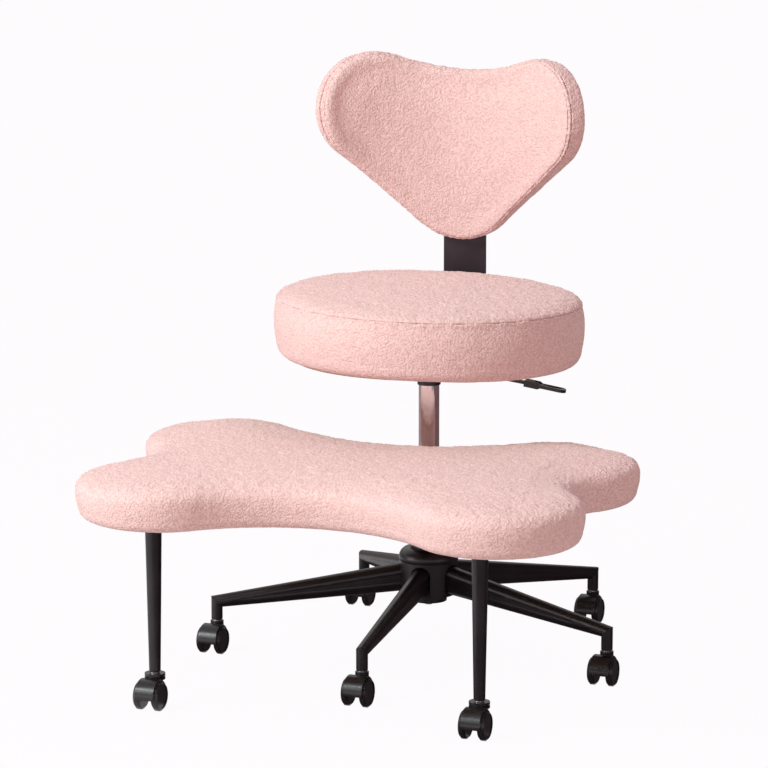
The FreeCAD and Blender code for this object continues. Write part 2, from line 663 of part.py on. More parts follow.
def height_lever():
    """Flat lever with its pivot barrel."""
    strip = prism(lever_profile(), LEVER_WIDTH)
    half = LEVER_BARREL_LENGTH / 2
    barrel = rod(LEVER_BARREL, V(LEVER_PIVOT_X, -half, LEVER_PIVOT_Z), V(LEVER_PIVOT_X, half, LEVER_PIVOT_Z))
    bore = rod(LEVER_PIN_DIAMETER + 2 * RUNNING_FIT, V(LEVER_PIVOT_X, -half - OVERCUT, LEVER_PIVOT_Z),
               V(LEVER_PIVOT_X, half + OVERCUT, LEVER_PIVOT_Z))
    return strip.fuse(barrel).removeSplitter().cut(bore)


def lever_pivot_pin():
    """Pin across the lever box with a head on each side."""
    face = BOX_WIDTH / 2 + SEATED_FIT
    end = face + LEVER_PIN_HEAD_HEIGHT
    near_end = V(LEVER_PIVOT_X, -end, LEVER_PIVOT_Z)
    far_end = V(LEVER_PIVOT_X, end, LEVER_PIVOT_Z)
    shank = rod(LEVER_PIN_DIAMETER, near_end, far_end)
    for side in (-1, 1):
        shank = shank.fuse(rod(LEVER_PIN_HEAD, V(LEVER_PIVOT_X, side * face, LEVER_PIVOT_Z),
                               V(LEVER_PIVOT_X, side * end, LEVER_PIVOT_Z)))
    return shank.removeSplitter()


def lever_grip():
    """Moulded grip pushed over the lever's end: a block that thins to a scooped paddle."""
    block_half = GRIP_BLOCK_HEIGHT / 2
    thin_half = GRIP_PADDLE_HEIGHT / 2
    neck = GRIP_BLOCK_LENGTH
    shoulder = neck + block_half
    side = [(0, -block_half), (neck, -block_half), (shoulder, -thin_half), (GRIP_LENGTH, -thin_half),
            (GRIP_LENGTH, thin_half), (shoulder, thin_half), (neck, block_half), (0, block_half)]
    round_end = GRIP_WIDTH / 2
    tip_x = GRIP_LENGTH - round_end
    plan = block(0, tip_x, -round_end, round_end, -block_half, block_half)
    plan = plan.fuse(post(GRIP_WIDTH, -block_half, block_half, tip_x)).removeSplitter()
    scoop_length = GRIP_LENGTH - shoulder
    scoop_radius = (scoop_length ** 2 / 4 + GRIP_SCOOP ** 2) / (2 * GRIP_SCOOP)
    scoop_x = shoulder + scoop_length / 2
    scoop_z = thin_half + scoop_radius - GRIP_SCOOP
    scoop = rod(2 * scoop_radius, V(scoop_x, -GRIP_WIDTH / 3, scoop_z), V(scoop_x, GRIP_WIDTH / 3, scoop_z))
    grip = prism(side, GRIP_WIDTH).common(plan).cut(scoop)
    fall = math.tan(math.radians(LEVER_DROOP))
    grip.rotate(ORIGIN, ACROSS, LEVER_DROOP)
    grip = shifted(grip, GRIP_START_X, 0, LEVER_PIVOT_Z - (GRIP_START_X - LEVER_PIVOT_X) * fall)
    return grip.cut(prism(lever_profile(), LEVER_WIDTH))


def backrest_bar():
    """Flat steel bar: foot under the seat board, one bend, then upright behind the seat."""
    outer = BAR_BEND + BAR_THICKNESS
    bend_y = BAR_FACE_Y - BAR_BEND
    bend_z = BOARD_Z + BAR_BEND
    diagonal = math.sqrt(0.5)
    half = BAR_WIDTH / 2
    back = BAR_FACE_Y + BAR_THICKNESS
    edges = [
        line(V(-half, BAR_START_Y, BOARD_Z), V(-half, bend_y, BOARD_Z)),
        arc(V(-half, bend_y, BOARD_Z), V(-half, bend_y + BAR_BEND * diagonal, bend_z - BAR_BEND * diagonal),
            V(-half, BAR_FACE_Y, bend_z)),
        line(V(-half, BAR_FACE_Y, bend_z), V(-half, BAR_FACE_Y, BAR_TOP)),
        line(V(-half, BAR_FACE_Y, BAR_TOP), V(-half, back, BAR_TOP)),
        line(V(-half, back, BAR_TOP), V(-half, back, bend_z)),
        arc(V(-half, back, bend_z), V(-half, bend_y + outer * diagonal, bend_z - outer * diagonal),
            V(-half, bend_y, BOARD_Z - BAR_THICKNESS)),
        line(V(-half, bend_y, BOARD_Z - BAR_THICKNESS), V(-half, BAR_START_Y, BOARD_Z - BAR_THICKNESS)),
        line(V(-half, BAR_START_Y, BOARD_Z - BAR_THICKNESS), V(-half, BAR_START_Y, BOARD_Z)),
    ]
    bar = Part.Face(Part.Wire(edges)).extrude(V(BAR_WIDTH, 0, 0))
    ends = []
    for edge in bar.Edges:
        middle = edge.CenterOfMass
        across = abs(middle.x) > half - 0.1
        at_top = abs(middle.z - BAR_TOP) < 0.1
        at_foot = abs(middle.y - BAR_START_Y) < 0.1
        if across and (at_top or at_foot):
            ends.append(edge)
    return bar.makeFillet(BAR_END_ROUND, ends).cut(seat_screw_holes(SCREW_PLAY))


def heart_span(s, inset):
    """Lower and upper height of the heart outline at a distance s along its curve."""
    lobe = (HEART_LOBE_OUT, HEART_LOBE_Z, HEART_LOBE_RADIUS)
    twin = (-HEART_LOBE_OUT, HEART_LOBE_Z, HEART_LOBE_RADIUS)
    tip = (0.0, HEART_TIP_Z, HEART_TIP_RADIUS)
    notch = blend_centre(lobe, twin, HEART_NOTCH_BLEND)
    flank = blend_centre(tip, lobe, HEART_FLANK_BLEND)
    lobe_radius = HEART_LOBE_RADIUS - inset
    notch_radius = HEART_NOTCH_BLEND + inset
    flank_radius = HEART_FLANK_BLEND + inset
    tip_radius = HEART_TIP_RADIUS - inset
    notch_end = HEART_LOBE_OUT * notch_radius / (notch_radius + lobe_radius)
    tip_end = flank.x * tip_radius / (tip_radius + flank_radius)
    lobe_start = HEART_LOBE_OUT + (flank.x - HEART_LOBE_OUT) * lobe_radius / (lobe_radius + flank_radius)
    lobe_rise = math.sqrt(max(lobe_radius ** 2 - (s - HEART_LOBE_OUT) ** 2, 0.0))
    if s < notch_end:
        high = notch.y - math.sqrt(notch_radius ** 2 - s ** 2)
    else:
        high = HEART_LOBE_Z + lobe_rise
    if s < tip_end:
        low = HEART_TIP_Z - math.sqrt(tip_radius ** 2 - s ** 2)
    elif s < lobe_start:
        low = flank.y + math.sqrt(flank_radius ** 2 - (s - flank.x) ** 2)
    else:
        low = HEART_LOBE_Z - lobe_rise
    return low, high


def heart_point(radius, s, z):
    """Point on the curved backrest: s along the front face's curve, radius from its axis."""
    angle = s / BACK_RADIUS
    return V(radius * math.sin(angle), BACK_AXIS_Y + radius * math.cos(angle), z)


def heart_stations(inset):
    """Distances along the curve where the heart is sectioned, closer together at its ends."""
    count = BACK_HALF_SECTIONS
    reach = (HEART_LOBE_OUT + HEART_LOBE_RADIUS - inset) * BACK_END_SHARE
    return [reach * math.sin(math.pi / 2 * index / count) for index in range(-count, count + 1)]


def padded_section(s):
    """Section of the backrest cushion across its curve: crowned front, rolled ends, plain back."""
    low, high = heart_span(abs(s), 0.0)
    roll = min(BACK_ROLL, (high - low) / 3)
    edge = min(1.0, (high - low) / (4 * BACK_ROLL))
    front = BACK_RADIUS + BACK_CROWN + BACK_ROLL * (1 - edge)
    crown = front - BACK_CROWN * edge
    back = BACK_OUTER_RADIUS - BACK_ROLL * (1 - edge)
    middle = (front + back) / 2
    centre = (low + high) / 2
    front_low = heart_point(front, s, low + roll)
    front_high = heart_point(front, s, high - roll)
    back_low = heart_point(back, s, low + roll)
    back_high = heart_point(back, s, high - roll)
    return Part.Wire([
        arc(front_low, heart_point(crown, s, centre), front_high),
        arc(front_high, heart_point(middle, s, high), back_high),
        line(back_high, back_low),
        arc(back_low, heart_point(middle, s, low), front_low),
    ])


def board_section(s, inset, front, back):
    """Plain four-sided section across the backrest's curve."""
    low, high = heart_span(abs(s), inset)
    corners = [heart_point(front, s, low), heart_point(front, s, high),
               heart_point(back, s, high), heart_point(back, s, low)]
    return Part.makePolygon(corners + corners[:1])


def curved_board(inset, front, back):
    """Heart-shaped board bent to the backrest's curve."""
    return Part.makeLoft([board_section(s, inset, front, back) for s in heart_stations(inset)], True, True)


def bar_land(gap):
    """Flat behind the backrest that the bar lies on."""
    half = BAR_WIDTH / 2 + BAR_LAND_PLAY
    return block(-half, half, BAR_FACE_Y - gap, BAR_FACE_Y + BACK_THICKNESS, 0, BAR_TOP + BAR_LAND_PLAY)


def backrest_board():
    """Bent plywood heart with a flat for the bar."""
    board = curved_board(BACK_BOARD_INSET, BACK_OUTER_RADIUS - BACK_BOARD_THICKNESS, BACK_OUTER_RADIUS)
    return board.cut([bar_land(0.0)] + seat_screw_holes(SEATED_FIT))


def backrest_cushion():
    """Heart-shaped cushion bent to the sitter's back, with the board's pocket behind."""
    pad = Part.makeLoft([padded_section(s) for s in heart_stations(0.0)], True, True)
    pocket_front = BACK_OUTER_RADIUS - BACK_BOARD_THICKNESS - CUSHION_GAP
    pocket = curved_board(BACK_BOARD_INSET - CUSHION_GAP, pocket_front, BACK_OUTER_RADIUS + BACK_ROLL)
    return pad.cut([pocket, bar_land(CUSHION_GAP)])


def pad_wire(inset, z):
    """Bow-shaped outline of the leg rest, drawn in by inset at height z."""
    lobes = [(PAD_SHIFT_X - PAD_FRONT_OUT, PAD_FRONT_Y, PAD_FRONT_RADIUS),
             (PAD_SHIFT_X + PAD_FRONT_OUT, PAD_FRONT_Y, PAD_FRONT_RADIUS),
             (PAD_SHIFT_X + PAD_BACK_OUT, PAD_BACK_Y, PAD_BACK_RADIUS),
             (PAD_SHIFT_X - PAD_BACK_OUT, PAD_BACK_Y, PAD_BACK_RADIUS)]
    return lobed_wire(lobes, [PAD_FRONT_BLEND, PAD_SIDE_BLEND, PAD_BACK_BLEND, PAD_SIDE_BLEND], inset, z)


def pad_slab(inset, low, high):
    """Straight-sided slab of the leg rest's outline."""
    return Part.Face(pad_wire(inset, low)).extrude(V(0, 0, high - low))


def footrest_cushion():
    """Leg-rest cushion with large soft edges above and below and a crowned top."""
    levels = []
    for turn in (0, 30, 60, 90):
        angle = math.radians(turn)
        rise = PAD_UNDER_EDGE * (1 - math.cos(angle))
        levels.append((PAD_UNDER_EDGE * (1 - math.sin(angle)), PAD_BOTTOM + rise))
    top_edge = PAD_BOTTOM + PAD_HEIGHT - PAD_CROWN
    for turn in (0, 25, 50, 75):
        angle = math.radians(turn)
        levels.append((PAD_EDGE * (1 - math.cos(angle)), top_edge - PAD_EDGE * (1 - math.sin(angle))))
    levels.append((2 * PAD_EDGE, PAD_BOTTOM + PAD_HEIGHT - PAD_CROWN / 3))
    levels.append((3 * PAD_EDGE, PAD_BOTTOM + PAD_HEIGHT))
    pad = Part.makeLoft([pad_wire(inset, z) for inset, z in levels], True, True)
    pocket_top = PAD_BOARD_Z + BOARD_THICKNESS + CUSHION_GAP
    return pad.cut(pad_slab(PAD_BOARD_INSET - CUSHION_GAP, PAD_BOTTOM - OVERCUT, pocket_top))


def leg_spots():
    """Places of the two front legs, left then right."""
    middle = PAD_SHIFT_X + LEG_SHIFT_X
    return [(middle - LEG_OUT, LEG_Y), (middle + LEG_OUT, LEG_Y)]


def pad_screw_spots():
    """Places of the screws under the leg rest: leg flanges, then the swing arm's plate."""
    spots = []
    flange_z = PAD_BOARD_Z - LEG_FLANGE_THICKNESS
    for x, y in leg_spots():
        for index in range(LEG_SCREWS):
            angle = math.radians(90 + index * 360 / LEG_SCREWS)
            out = LEG_SCREW_CIRCLE / 2
            spots.append((x + out * math.cos(angle), y + out * math.sin(angle), flange_z))
    plate_z = PAD_BOARD_Z - SWING_PLATE_THICKNESS
    half = SWING_PLATE_WIDTH / 2 - SWING_SCREW_INSET
    front = SWING_SCREW_INSET - SWING_ARM_REACH
    rear = SWING_PLATE_LENGTH - SWING_SCREW_INSET - SWING_ARM_REACH
    spots.extend([(x, y, plate_z) for x in (-half, half) for y in (front, rear)])
    return spots


def footrest_screws():
    """Every screw of the leg rest, each a separate solid."""
    solids = []
    for x, y, z in pad_screw_spots():
        length = PAD_BOARD_Z - z + PAD_SCREW_GRIP
        solids.append(screw(V(x, y, z), UP, PAD_SCREW_DIAMETER, PAD_SCREW_HEAD,
                            PAD_SCREW_HEAD_HEIGHT, length))
    return Part.makeCompound(solids)


def pad_screw_holes(play):
    """Cutters for the leg rest's screws with a given play all round."""
    return [post(PAD_SCREW_DIAMETER + 2 * play, z - OVERCUT, PAD_BOARD_Z + PAD_SCREW_GRIP + play, x, y)
            for x, y, z in pad_screw_spots()]


def footrest_board():
    """Plywood board in the underside of the leg rest."""
    board = pad_slab(PAD_BOARD_INSET, PAD_BOARD_Z, PAD_BOARD_Z + BOARD_THICKNESS)
    return board.cut(pad_screw_holes(SEATED_FIT))


def footrest_bush():
    """Plastic sleeve that turns on the column tube and rests on its stop ring."""
    top = SWING_BUSH_Z + SWING_BUSH_RIM + SWING_RING_HEIGHT
    sleeve = post(TUBE_DIAMETER + 2 * SWING_BUSH_WALL, SWING_BUSH_Z, top)
    rim_diameter = TUBE_DIAMETER + 2 * (SWING_BUSH_WALL + SWING_RING_WALL)
    rim = post(rim_diameter, SWING_BUSH_Z, SWING_BUSH_Z + SWING_BUSH_RIM)
    sleeve = sleeve.fuse(rim).removeSplitter()
    return sleeve.cut(post(TUBE_DIAMETER + 2 * RUNNING_FIT, SWING_BUSH_Z - OVERCUT, top + OVERCUT))


def footrest_bracket():
    """Swing arm: ring round the bush, square tube forwards and the plate under the board."""
    bore = TUBE_DIAMETER + 2 * (SWING_BUSH_WALL + SEATED_FIT)
    ring_low = SWING_BUSH_Z + SWING_BUSH_RIM
    ring_outer = TUBE_DIAMETER + 2 * (SWING_BUSH_WALL + SWING_RING_WALL)
    plate_low = PAD_BOARD_Z - SWING_PLATE_THICKNESS
    arm_low = plate_low - SWING_ARM_HEIGHT
    half = SWING_ARM_WIDTH / 2
    plate_half = SWING_PLATE_WIDTH / 2
    inner = half - SWING_ARM_WALL
    arm = block(-half, half, -SWING_ARM_REACH, 0, arm_low, plate_low)
    hollow = block(-inner, inner, -SWING_ARM_REACH - OVERCUT, -ring_outer / 2,
                   arm_low + SWING_ARM_WALL, plate_low - SWING_ARM_WALL)
    plate = block(-plate_half, plate_half, -SWING_ARM_REACH, SWING_PLATE_LENGTH - SWING_ARM_REACH,
                  plate_low, PAD_BOARD_Z)
    ring = post(ring_outer, ring_low, ring_low + SWING_RING_HEIGHT)
    solid = arm.cut(hollow).fuse(plate).fuse(ring).removeSplitter()
    return solid.cut([post(bore, ring_low - OVERCUT, PAD_BOARD_Z + OVERCUT)] + pad_screw_holes(SCREW_PLAY))


def leg(x, y):
    """Tapered front leg with a flange under the board and a stem socket in its foot."""
    foot = LEG_FOOT_DIAMETER / 2
    under = PAD_BOARD_Z - LEG_FLANGE_THICKNESS
    body = lathe([(0, LEG_FOOT_Z), (foot - LEG_CHAMFER, LEG_FOOT_Z), (foot, LEG_FOOT_Z + LEG_CHAMFER),
                  (LEG_TOP_DIAMETER / 2, under), (LEG_FLANGE_DIAMETER / 2, under),
                  (LEG_FLANGE_DIAMETER / 2, PAD_BOARD_Z), (0, PAD_BOARD_Z)])
    socket_top = LEG_FOOT_Z + STEM_GRIP + SEATED_FIT
    body = body.cut(post(STEM_DIAMETER + 2 * SEATED_FIT, LEG_FOOT_Z - OVERCUT, socket_top))
    return shifted(body, x, y).cut(pad_screw_holes(SCREW_PLAY))


def stem(top, x, y):
    """Caster stem with the thin ring that shows under the post."""
    ring_low = top - STEM_RING_HEIGHT
    radius = STEM_DIAMETER / 2
    foot = ring_low - MOVING_GAP - STEM_SINK
    ring = STEM_RING_DIAMETER / 2
    body = lathe([(0, foot), (radius, foot), (radius, ring_low), (ring, ring_low), (ring, top),
                  (radius, top), (radius, top + STEM_GRIP), (0, top + STEM_GRIP)])
    return shifted(body, x, y)


def round_collar(top):
    """Plain collar of a base caster, flared out of the hood."""
    foot = top - STEM_SINK - SEATED_FIT
    wide = BASE_COLLAR_DIAMETER / 2
    flare_top = foot + COLLAR_FLARE
    return lathe([(0, foot), (COLLAR_FOOT_DIAMETER / 2, foot), (wide, flare_top), (wide, top), (0, top)])


def ringed_collar(top):
    """Wide collar of a leg caster: two rings with a groove between them."""
    foot = top - STEM_SINK - SEATED_FIT
    wide = LEG_COLLAR_DIAMETER / 2
    waist = LEG_COLLAR_WAIST / 2
    groove_high = top - LEG_COLLAR_RING
    groove_low = groove_high - LEG_COLLAR_GROOVE
    ring_low = groove_low - LEG_COLLAR_RING
    return lathe([(0, foot), (COLLAR_FOOT_DIAMETER / 2, foot), (waist, ring_low), (wide, ring_low),
                  (wide, groove_low), (waist, groove_low), (waist, groove_high), (wide, groove_high),
                  (wide, top), (0, top)])


def caster_hood(collar, top):
    """Barrel hood over both wheels with a middle web, the stem collar and the axle boss."""
    axle_z = WHEEL_DIAMETER / 2
    room = WHEEL_DIAMETER / 2 + HOOD_ROOM
    outer = room + HOOD_WALL
    half = HOOD_WIDTH / 2
    half_web = HOOD_WEB / 2
    barrel = axle_lathe([(0, -half), (outer - HOOD_CHAMFER, -half), (outer, HOOD_CHAMFER - half),
                         (outer, half - HOOD_CHAMFER), (outer - HOOD_CHAMFER, half), (0, half)])
    barrel = shifted(barrel, 0, -CASTER_TRAIL, axle_z)
    behind = -CASTER_TRAIL - outer - OVERCUT
    skirt = block(-HOOD_WIDTH, HOOD_WIDTH, behind, outer, axle_z - outer - OVERCUT, HOOD_SKIRT_Z)
    boss = rod(HOOD_BOSS_DIAMETER, V(-half_web, -CASTER_TRAIL, axle_z), V(half_web, -CASTER_TRAIL, axle_z))
    hood = barrel.cut(skirt).fuse(boss).fuse(collar)
    for side in (-1, 1):
        wheel_room = rod(2 * room, V(side * half_web, -CASTER_TRAIL, axle_z),
                         V(side * HOOD_WIDTH, -CASTER_TRAIL, axle_z))
        hood = hood.cut(wheel_room)
    hood = hood.removeSplitter()
    bore = post(STEM_DIAMETER + 2 * RUNNING_FIT, top - STEM_SINK - MOVING_GAP, top + OVERCUT)
    axle_bore = rod(AXLE_DIAMETER + 2 * SEATED_FIT, V(-HOOD_WEB, -CASTER_TRAIL, axle_z),
                    V(HOOD_WEB, -CASTER_TRAIL, axle_z))
    return hood.cut([bore, axle_bore])


def wheel_bore_end():
    """Distance from the caster's middle to the floor of a wheel's bore."""
    return WHEEL_INNER_X + WHEEL_WIDTH - WHEEL_DISC_RECESS - WHEEL_CAP


def caster_axle():
    """Axle through the hood's web, with an end in the blind bore of each wheel."""
    end = wheel_bore_end() - MOVING_GAP
    axle_z = WHEEL_DIAMETER / 2
    return rod(AXLE_DIAMETER, V(-end, -CASTER_TRAIL, axle_z), V(end, -CASTER_TRAIL, axle_z))


def caster_wheel(side):
    """Bevelled wheel with a recessed outer disc; side is -1 for left and 1 for right."""
    radius = WHEEL_DIAMETER / 2
    bore = AXLE_DIAMETER / 2 + RUNNING_FIT
    inner = WHEEL_INNER_X
    outer = WHEEL_INNER_X + WHEEL_WIDTH
    floor = wheel_bore_end()
    profile = [(0, floor), (bore, floor), (bore, inner), (radius - WHEEL_BEVEL, inner),
               (radius, inner + WHEEL_BEVEL), (radius, outer - WHEEL_BEVEL), (radius - WHEEL_BEVEL, outer),
               (WHEEL_DISC_RADIUS, outer), (WHEEL_DISC_RADIUS, outer - WHEEL_DISC_RECESS),
               (0, outer - WHEEL_DISC_RECESS)]
    wheel = axle_lathe([(r, side * x) for r, x in profile])
    return shifted(wheel, 0, -CASTER_TRAIL, radius)


def caster_pieces(name, collar, top, x, y):
    """The four pieces of one caster, named and set under its stem."""
    pieces = {
        name + "_hood": caster_hood(collar, top),
        name + "_axle": caster_axle(),
        name + "_wheel_left": caster_wheel(-1),
        name + "_wheel_right": caster_wheel(1),
    }
    return {node: shifted(shape, x, y) for node, shape in pieces.items()}


def base_nodes():
    """Hub, arms, column and the base's own casters."""
    nodes = {"base_hub": base_hub(), "stand_tube": stand_tube(), "guide_bush": guide_bush(),
             "thrust_bearing": thrust_bearing(), "piston_rod": piston_rod(), "rod_clip": rod_clip()}
    arm = base_arm()
    stems = []
    collar_top = POST_BOTTOM - STEM_RING_HEIGHT - MOVING_GAP
    collar = round_collar(collar_top)
    for index, angle in enumerate(arm_angles()):
        number = str(index + 1)
        nodes["base_arm_" + number] = turned_about_column(arm, angle)
        x = ARM_REACH * math.cos(math.radians(angle))
        y = ARM_REACH * math.sin(math.radians(angle))
        stems.append(stem(POST_BOTTOM, x, y))
        nodes.update(caster_pieces("base_caster_" + number, collar, collar_top, x, y))
    nodes["base_caster_stems"] = Part.makeCompound(stems)
    return nodes


def seat_nodes():
    """Seat, backrest, gas cylinder and height lever, swung to where they stand."""
    pieces = {
        "seat_cushion": seat_cushion(), "seat_board": seat_board(), "seat_plate": seat_plate(),
        "seat_screws": seat_screws(), "gas_cylinder": gas_cylinder(), "gas_release_pin": gas_release_pin(),
        "height_lever": height_lever(), "lever_pivot_pin": lever_pivot_pin(), "lever_grip": lever_grip(),
        "backrest_bar": backrest_bar(), "backrest_board": backrest_board(),
        "backrest_cushion": backrest_cushion(),
    }
    return {node: turned_about_column(shape, SEAT_TURN) for node, shape in pieces.items()}


def footrest_nodes():
    """Leg rest, its swing arm, front legs and their casters."""
    pieces = {"footrest_cushion": footrest_cushion(), "footrest_board": footrest_board(),
              "footrest_bracket": footrest_bracket(), "footrest_bush": footrest_bush(),
              "footrest_screws": footrest_screws()}
    for side, (x, y) in zip(("left", "right"), leg_spots()):
        pieces["leg_" + side] = leg(x, y)
    nodes = {node: turned_about_column(shape, LEG_REST_TURN) for node, shape in pieces.items()}
    stems = []
    collar_top = LEG_FOOT_Z - STEM_RING_HEIGHT - MOVING_GAP
    collar = ringed_collar(collar_top)
    turn = FreeCAD.Rotation(UP, LEG_REST_TURN)
    for side, (x, y) in zip(("left", "right"), leg_spots()):
        spot = turn.multVec(V(x, y, 0))
        stems.append(stem(LEG_FOOT_Z, spot.x, spot.y))
        nodes.update(caster_pieces("leg_caster_" + side, collar, collar_top, spot.x, spot.y))
    nodes["leg_caster_stems"] = Part.makeCompound(stems)
    return nodes


def main():
    """Build every node and write each to its own file."""
    os.makedirs("parts", exist_ok=True)
    nodes = {}
    nodes.update(base_nodes())
    nodes.update(seat_nodes())
    nodes.update(footrest_nodes())
    for node, shape in nodes.items():
        shape.exportStep("parts/" + node + ".step")
        print(node, len(shape.Solids), shape.isValid(), round(shape.Volume / 1000, 2))


main()
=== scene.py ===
"""Looks of a cross-legged office chair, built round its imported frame.

Metres, +Z up, floor at Z = 0, column on the Z axis, leg rest towards -Y.
"""
import json
import logging
import math
from dataclasses import dataclass
from enum import Enum
from typing import Callable, Sequence

import bpy
import numpy as np
from mathutils import Matrix, Vector, geometry, kdtree


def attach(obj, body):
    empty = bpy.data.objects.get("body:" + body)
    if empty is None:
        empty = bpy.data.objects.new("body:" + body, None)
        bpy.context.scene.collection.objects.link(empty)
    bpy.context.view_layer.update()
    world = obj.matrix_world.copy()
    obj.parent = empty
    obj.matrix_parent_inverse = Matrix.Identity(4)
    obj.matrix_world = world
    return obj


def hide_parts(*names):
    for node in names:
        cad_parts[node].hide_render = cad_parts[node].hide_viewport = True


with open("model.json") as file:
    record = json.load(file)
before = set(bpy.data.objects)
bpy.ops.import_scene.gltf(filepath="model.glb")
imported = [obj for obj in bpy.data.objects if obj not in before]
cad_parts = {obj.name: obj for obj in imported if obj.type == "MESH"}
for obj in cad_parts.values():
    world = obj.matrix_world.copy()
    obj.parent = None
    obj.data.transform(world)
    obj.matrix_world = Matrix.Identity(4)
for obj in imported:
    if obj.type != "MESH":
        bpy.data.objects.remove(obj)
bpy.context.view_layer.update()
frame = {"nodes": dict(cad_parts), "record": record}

LOG = logging.getLogger("chair")
MM = 0.001
SEAT_TURN = math.radians(7.0)
LEG_REST_TURN = math.radians(2.5)
VIEW_TURN = math.radians(21.2)
ACROSS = (math.cos(VIEW_TURN), math.sin(VIEW_TURN), 0.0)

Colour = tuple[float, float, float]
Points = np.ndarray
Rows = tuple[tuple[float, float], ...]


class Slot(Enum):
    """Material slots of the record."""

    FABRIC = "fabric"
    PAINT = "black_paint"
    CHROME = "chrome"
    STEEL = "steel"
    PLASTIC = "black_plastic"
    WHEEL = "wheel_plastic"
    PLYWOOD = "plywood"


class Body(Enum):
    """Moving bodies that carry new pieces."""

    SEAT = "seat"
    FOOTREST = "footrest"


class Zone(Enum):
    """Stretches of a cushion's profile, by how the cover is held there."""

    POCKET = 0
    UNDER = 1
    SEAM = 2
    FREE = 3


# Procedural noise on points


def _hashed(cells: np.ndarray, salt: int) -> np.ndarray:
    """Repeatable value from 0 to 1 for each whole-number cell.

    Args:
        cells: Cell numbers, one row of three for each point.
        salt: Number that makes one family of values differ from another.

    Returns:
        One value for each row.
    """
    c = cells.astype(np.int64)
    h = c[..., 0] * 374761393 + c[..., 1] * 668265263 + c[..., 2] * 2147483647 + salt * 974634777
    h = (h ^ (h >> 13)) * 1274126177
    h = (h ^ (h >> 16)) & 0xFFFFFF
    return h / float(0xFFFFFF)


def value_noise(points: Points, size: float, salt: int = 0) -> np.ndarray:
    """Smooth noise from -1 to 1.

    Args:
        points: Places to read it at.
        size: Distance between its lumps.
        salt: Family of the noise.

    Returns:
        One value for each point.
    """
    p = points / size
    cell = np.floor(p)
    f = p - cell
    f = f * f * f * (f * (f * 6 - 15) + 10)
    total = np.zeros(len(points))
    for corner in range(8):
        step = np.array([corner & 1, (corner >> 1) & 1, (corner >> 2) & 1], float)
        weight = np.prod(np.where(step > 0, f, 1 - f), axis=1)
        total += weight * _hashed(cell + step, salt)
    return total * 2 - 1


def tuft_noise(points: Points, size: float, salt: int = 0) -> np.ndarray:
    """Separate rounded tufts, from 0 between them to 1 on their tops.

    Args:
        points: Places to read it at.
        size: Width of one tuft.
        salt: Family of the noise.

    Returns:
        One height for each point.
    """
    p = points / size
    cell = np.floor(p)
    reach = 0.8
    nearest = np.full(len(points), np.inf)
    for dx in (-1, 0, 1):
        for dy in (-1, 0, 1):
            for dz in (-1, 0, 1):
                near = cell + np.array([dx, dy, dz], float)
                spot = near + np.stack([_hashed(near, salt + k) for k in range(3)], axis=1)
                nearest = np.minimum(nearest, np.linalg.norm(p - spot, axis=1))
    return np.clip(1.0 - (nearest / reach) ** 2, 0.0, 1.0)


# Finishes


class Nodes:
    """Adds and links the nodes of one tree."""

    def __init__(self, tree: bpy.types.NodeTree, output: str) -> None:
        """Take over a tree.

        Args:
            tree: Tree of a material or the world.
            output: Name of its output node.
        """
        self.tree = tree
        self.output = tree.nodes[output]

    def add(self, kind: str, settings: dict | None = None, **inputs: object) -> bpy.types.Node:
        """Add a node.

        Args:
            kind: Node type name without its prefix.
            settings: Values of the node's own properties.
            **inputs: Values of its sockets, or sockets to link, by name with _ for a space.

        Returns:
            The new node.
        """
        node = self.tree.nodes.new("ShaderNode" + kind)
        for key, value in (settings or {}).items():
            setattr(node, key, value)
        for key, value in inputs.items():
            self.put(node, key.replace("_", " "), value)
        return node

    def put(self, node: bpy.types.Node, name: str | int, value: object) -> None:
        """Set one input of a node, or link it where the value is a socket.

        Args:
            node: Node to change.
            name: Name or number of its input.
            value: Value to set, or socket to link.
        """
        if isinstance(value, bpy.types.NodeSocket):
            self.tree.links.new(value, node.inputs[name])
        else:
            node.inputs[name].default_value = value

    def math(self, operation: str, first: object, second: object) -> bpy.types.NodeSocket:
        """Two values put together.

        Args:
            operation: Name of the sum.
            first: Value or socket.
            second: Value or socket.

        Returns:
            The result.
        """
        node = self.add("Math", {"operation": operation})
        self.put(node, 0, first)
        self.put(node, 1, second)
        return node.outputs[0]

    def ramp(self, fac: bpy.types.NodeSocket,
             stops: Sequence[tuple[float, tuple[float, ...]]]) -> bpy.types.NodeSocket:
        """Colour ramp over a value.

        Args:
            fac: Value to read.
            stops: Position and colour of each stop.

        Returns:
            The ramp's colour.
        """
        node = self.add("ValToRGB", Fac=fac)
        elements = node.color_ramp.elements
        while len(elements) < len(stops):
            elements.new(0.5)
        for element, (position, colour) in zip(elements, stops):
            element.position = position
            element.color = (*colour, 1.0)
        return node.outputs["Color"]

    def seen(self) -> bpy.types.NodeSocket:
        """Value of 1 where a ray comes from the camera, a shiny surface or glass, and 0 elsewhere.

        Returns:
            The value.
        """
        rays = self.add("LightPath").outputs
        seen = rays["Is Camera Ray"]
        for kind in ("Is Glossy Ray", "Is Transmission Ray"):
            seen = self.math("MAXIMUM", seen, rays[kind])
        return seen

    def show(self, first: bpy.types.NodeSocket, second: bpy.types.NodeSocket, share: object) -> None:
        """Put a mix of two shaders on the surface.

        Args:
            first: Shader seen at a share of 0.
            second: Shader seen at a share of 1.
            share: Value or socket.
        """
        mix = self.add("MixShader")
        for number, value in enumerate((share, first, second)):
            self.put(mix, number, value)
        self.put(self.output, "Surface", mix.outputs[0])


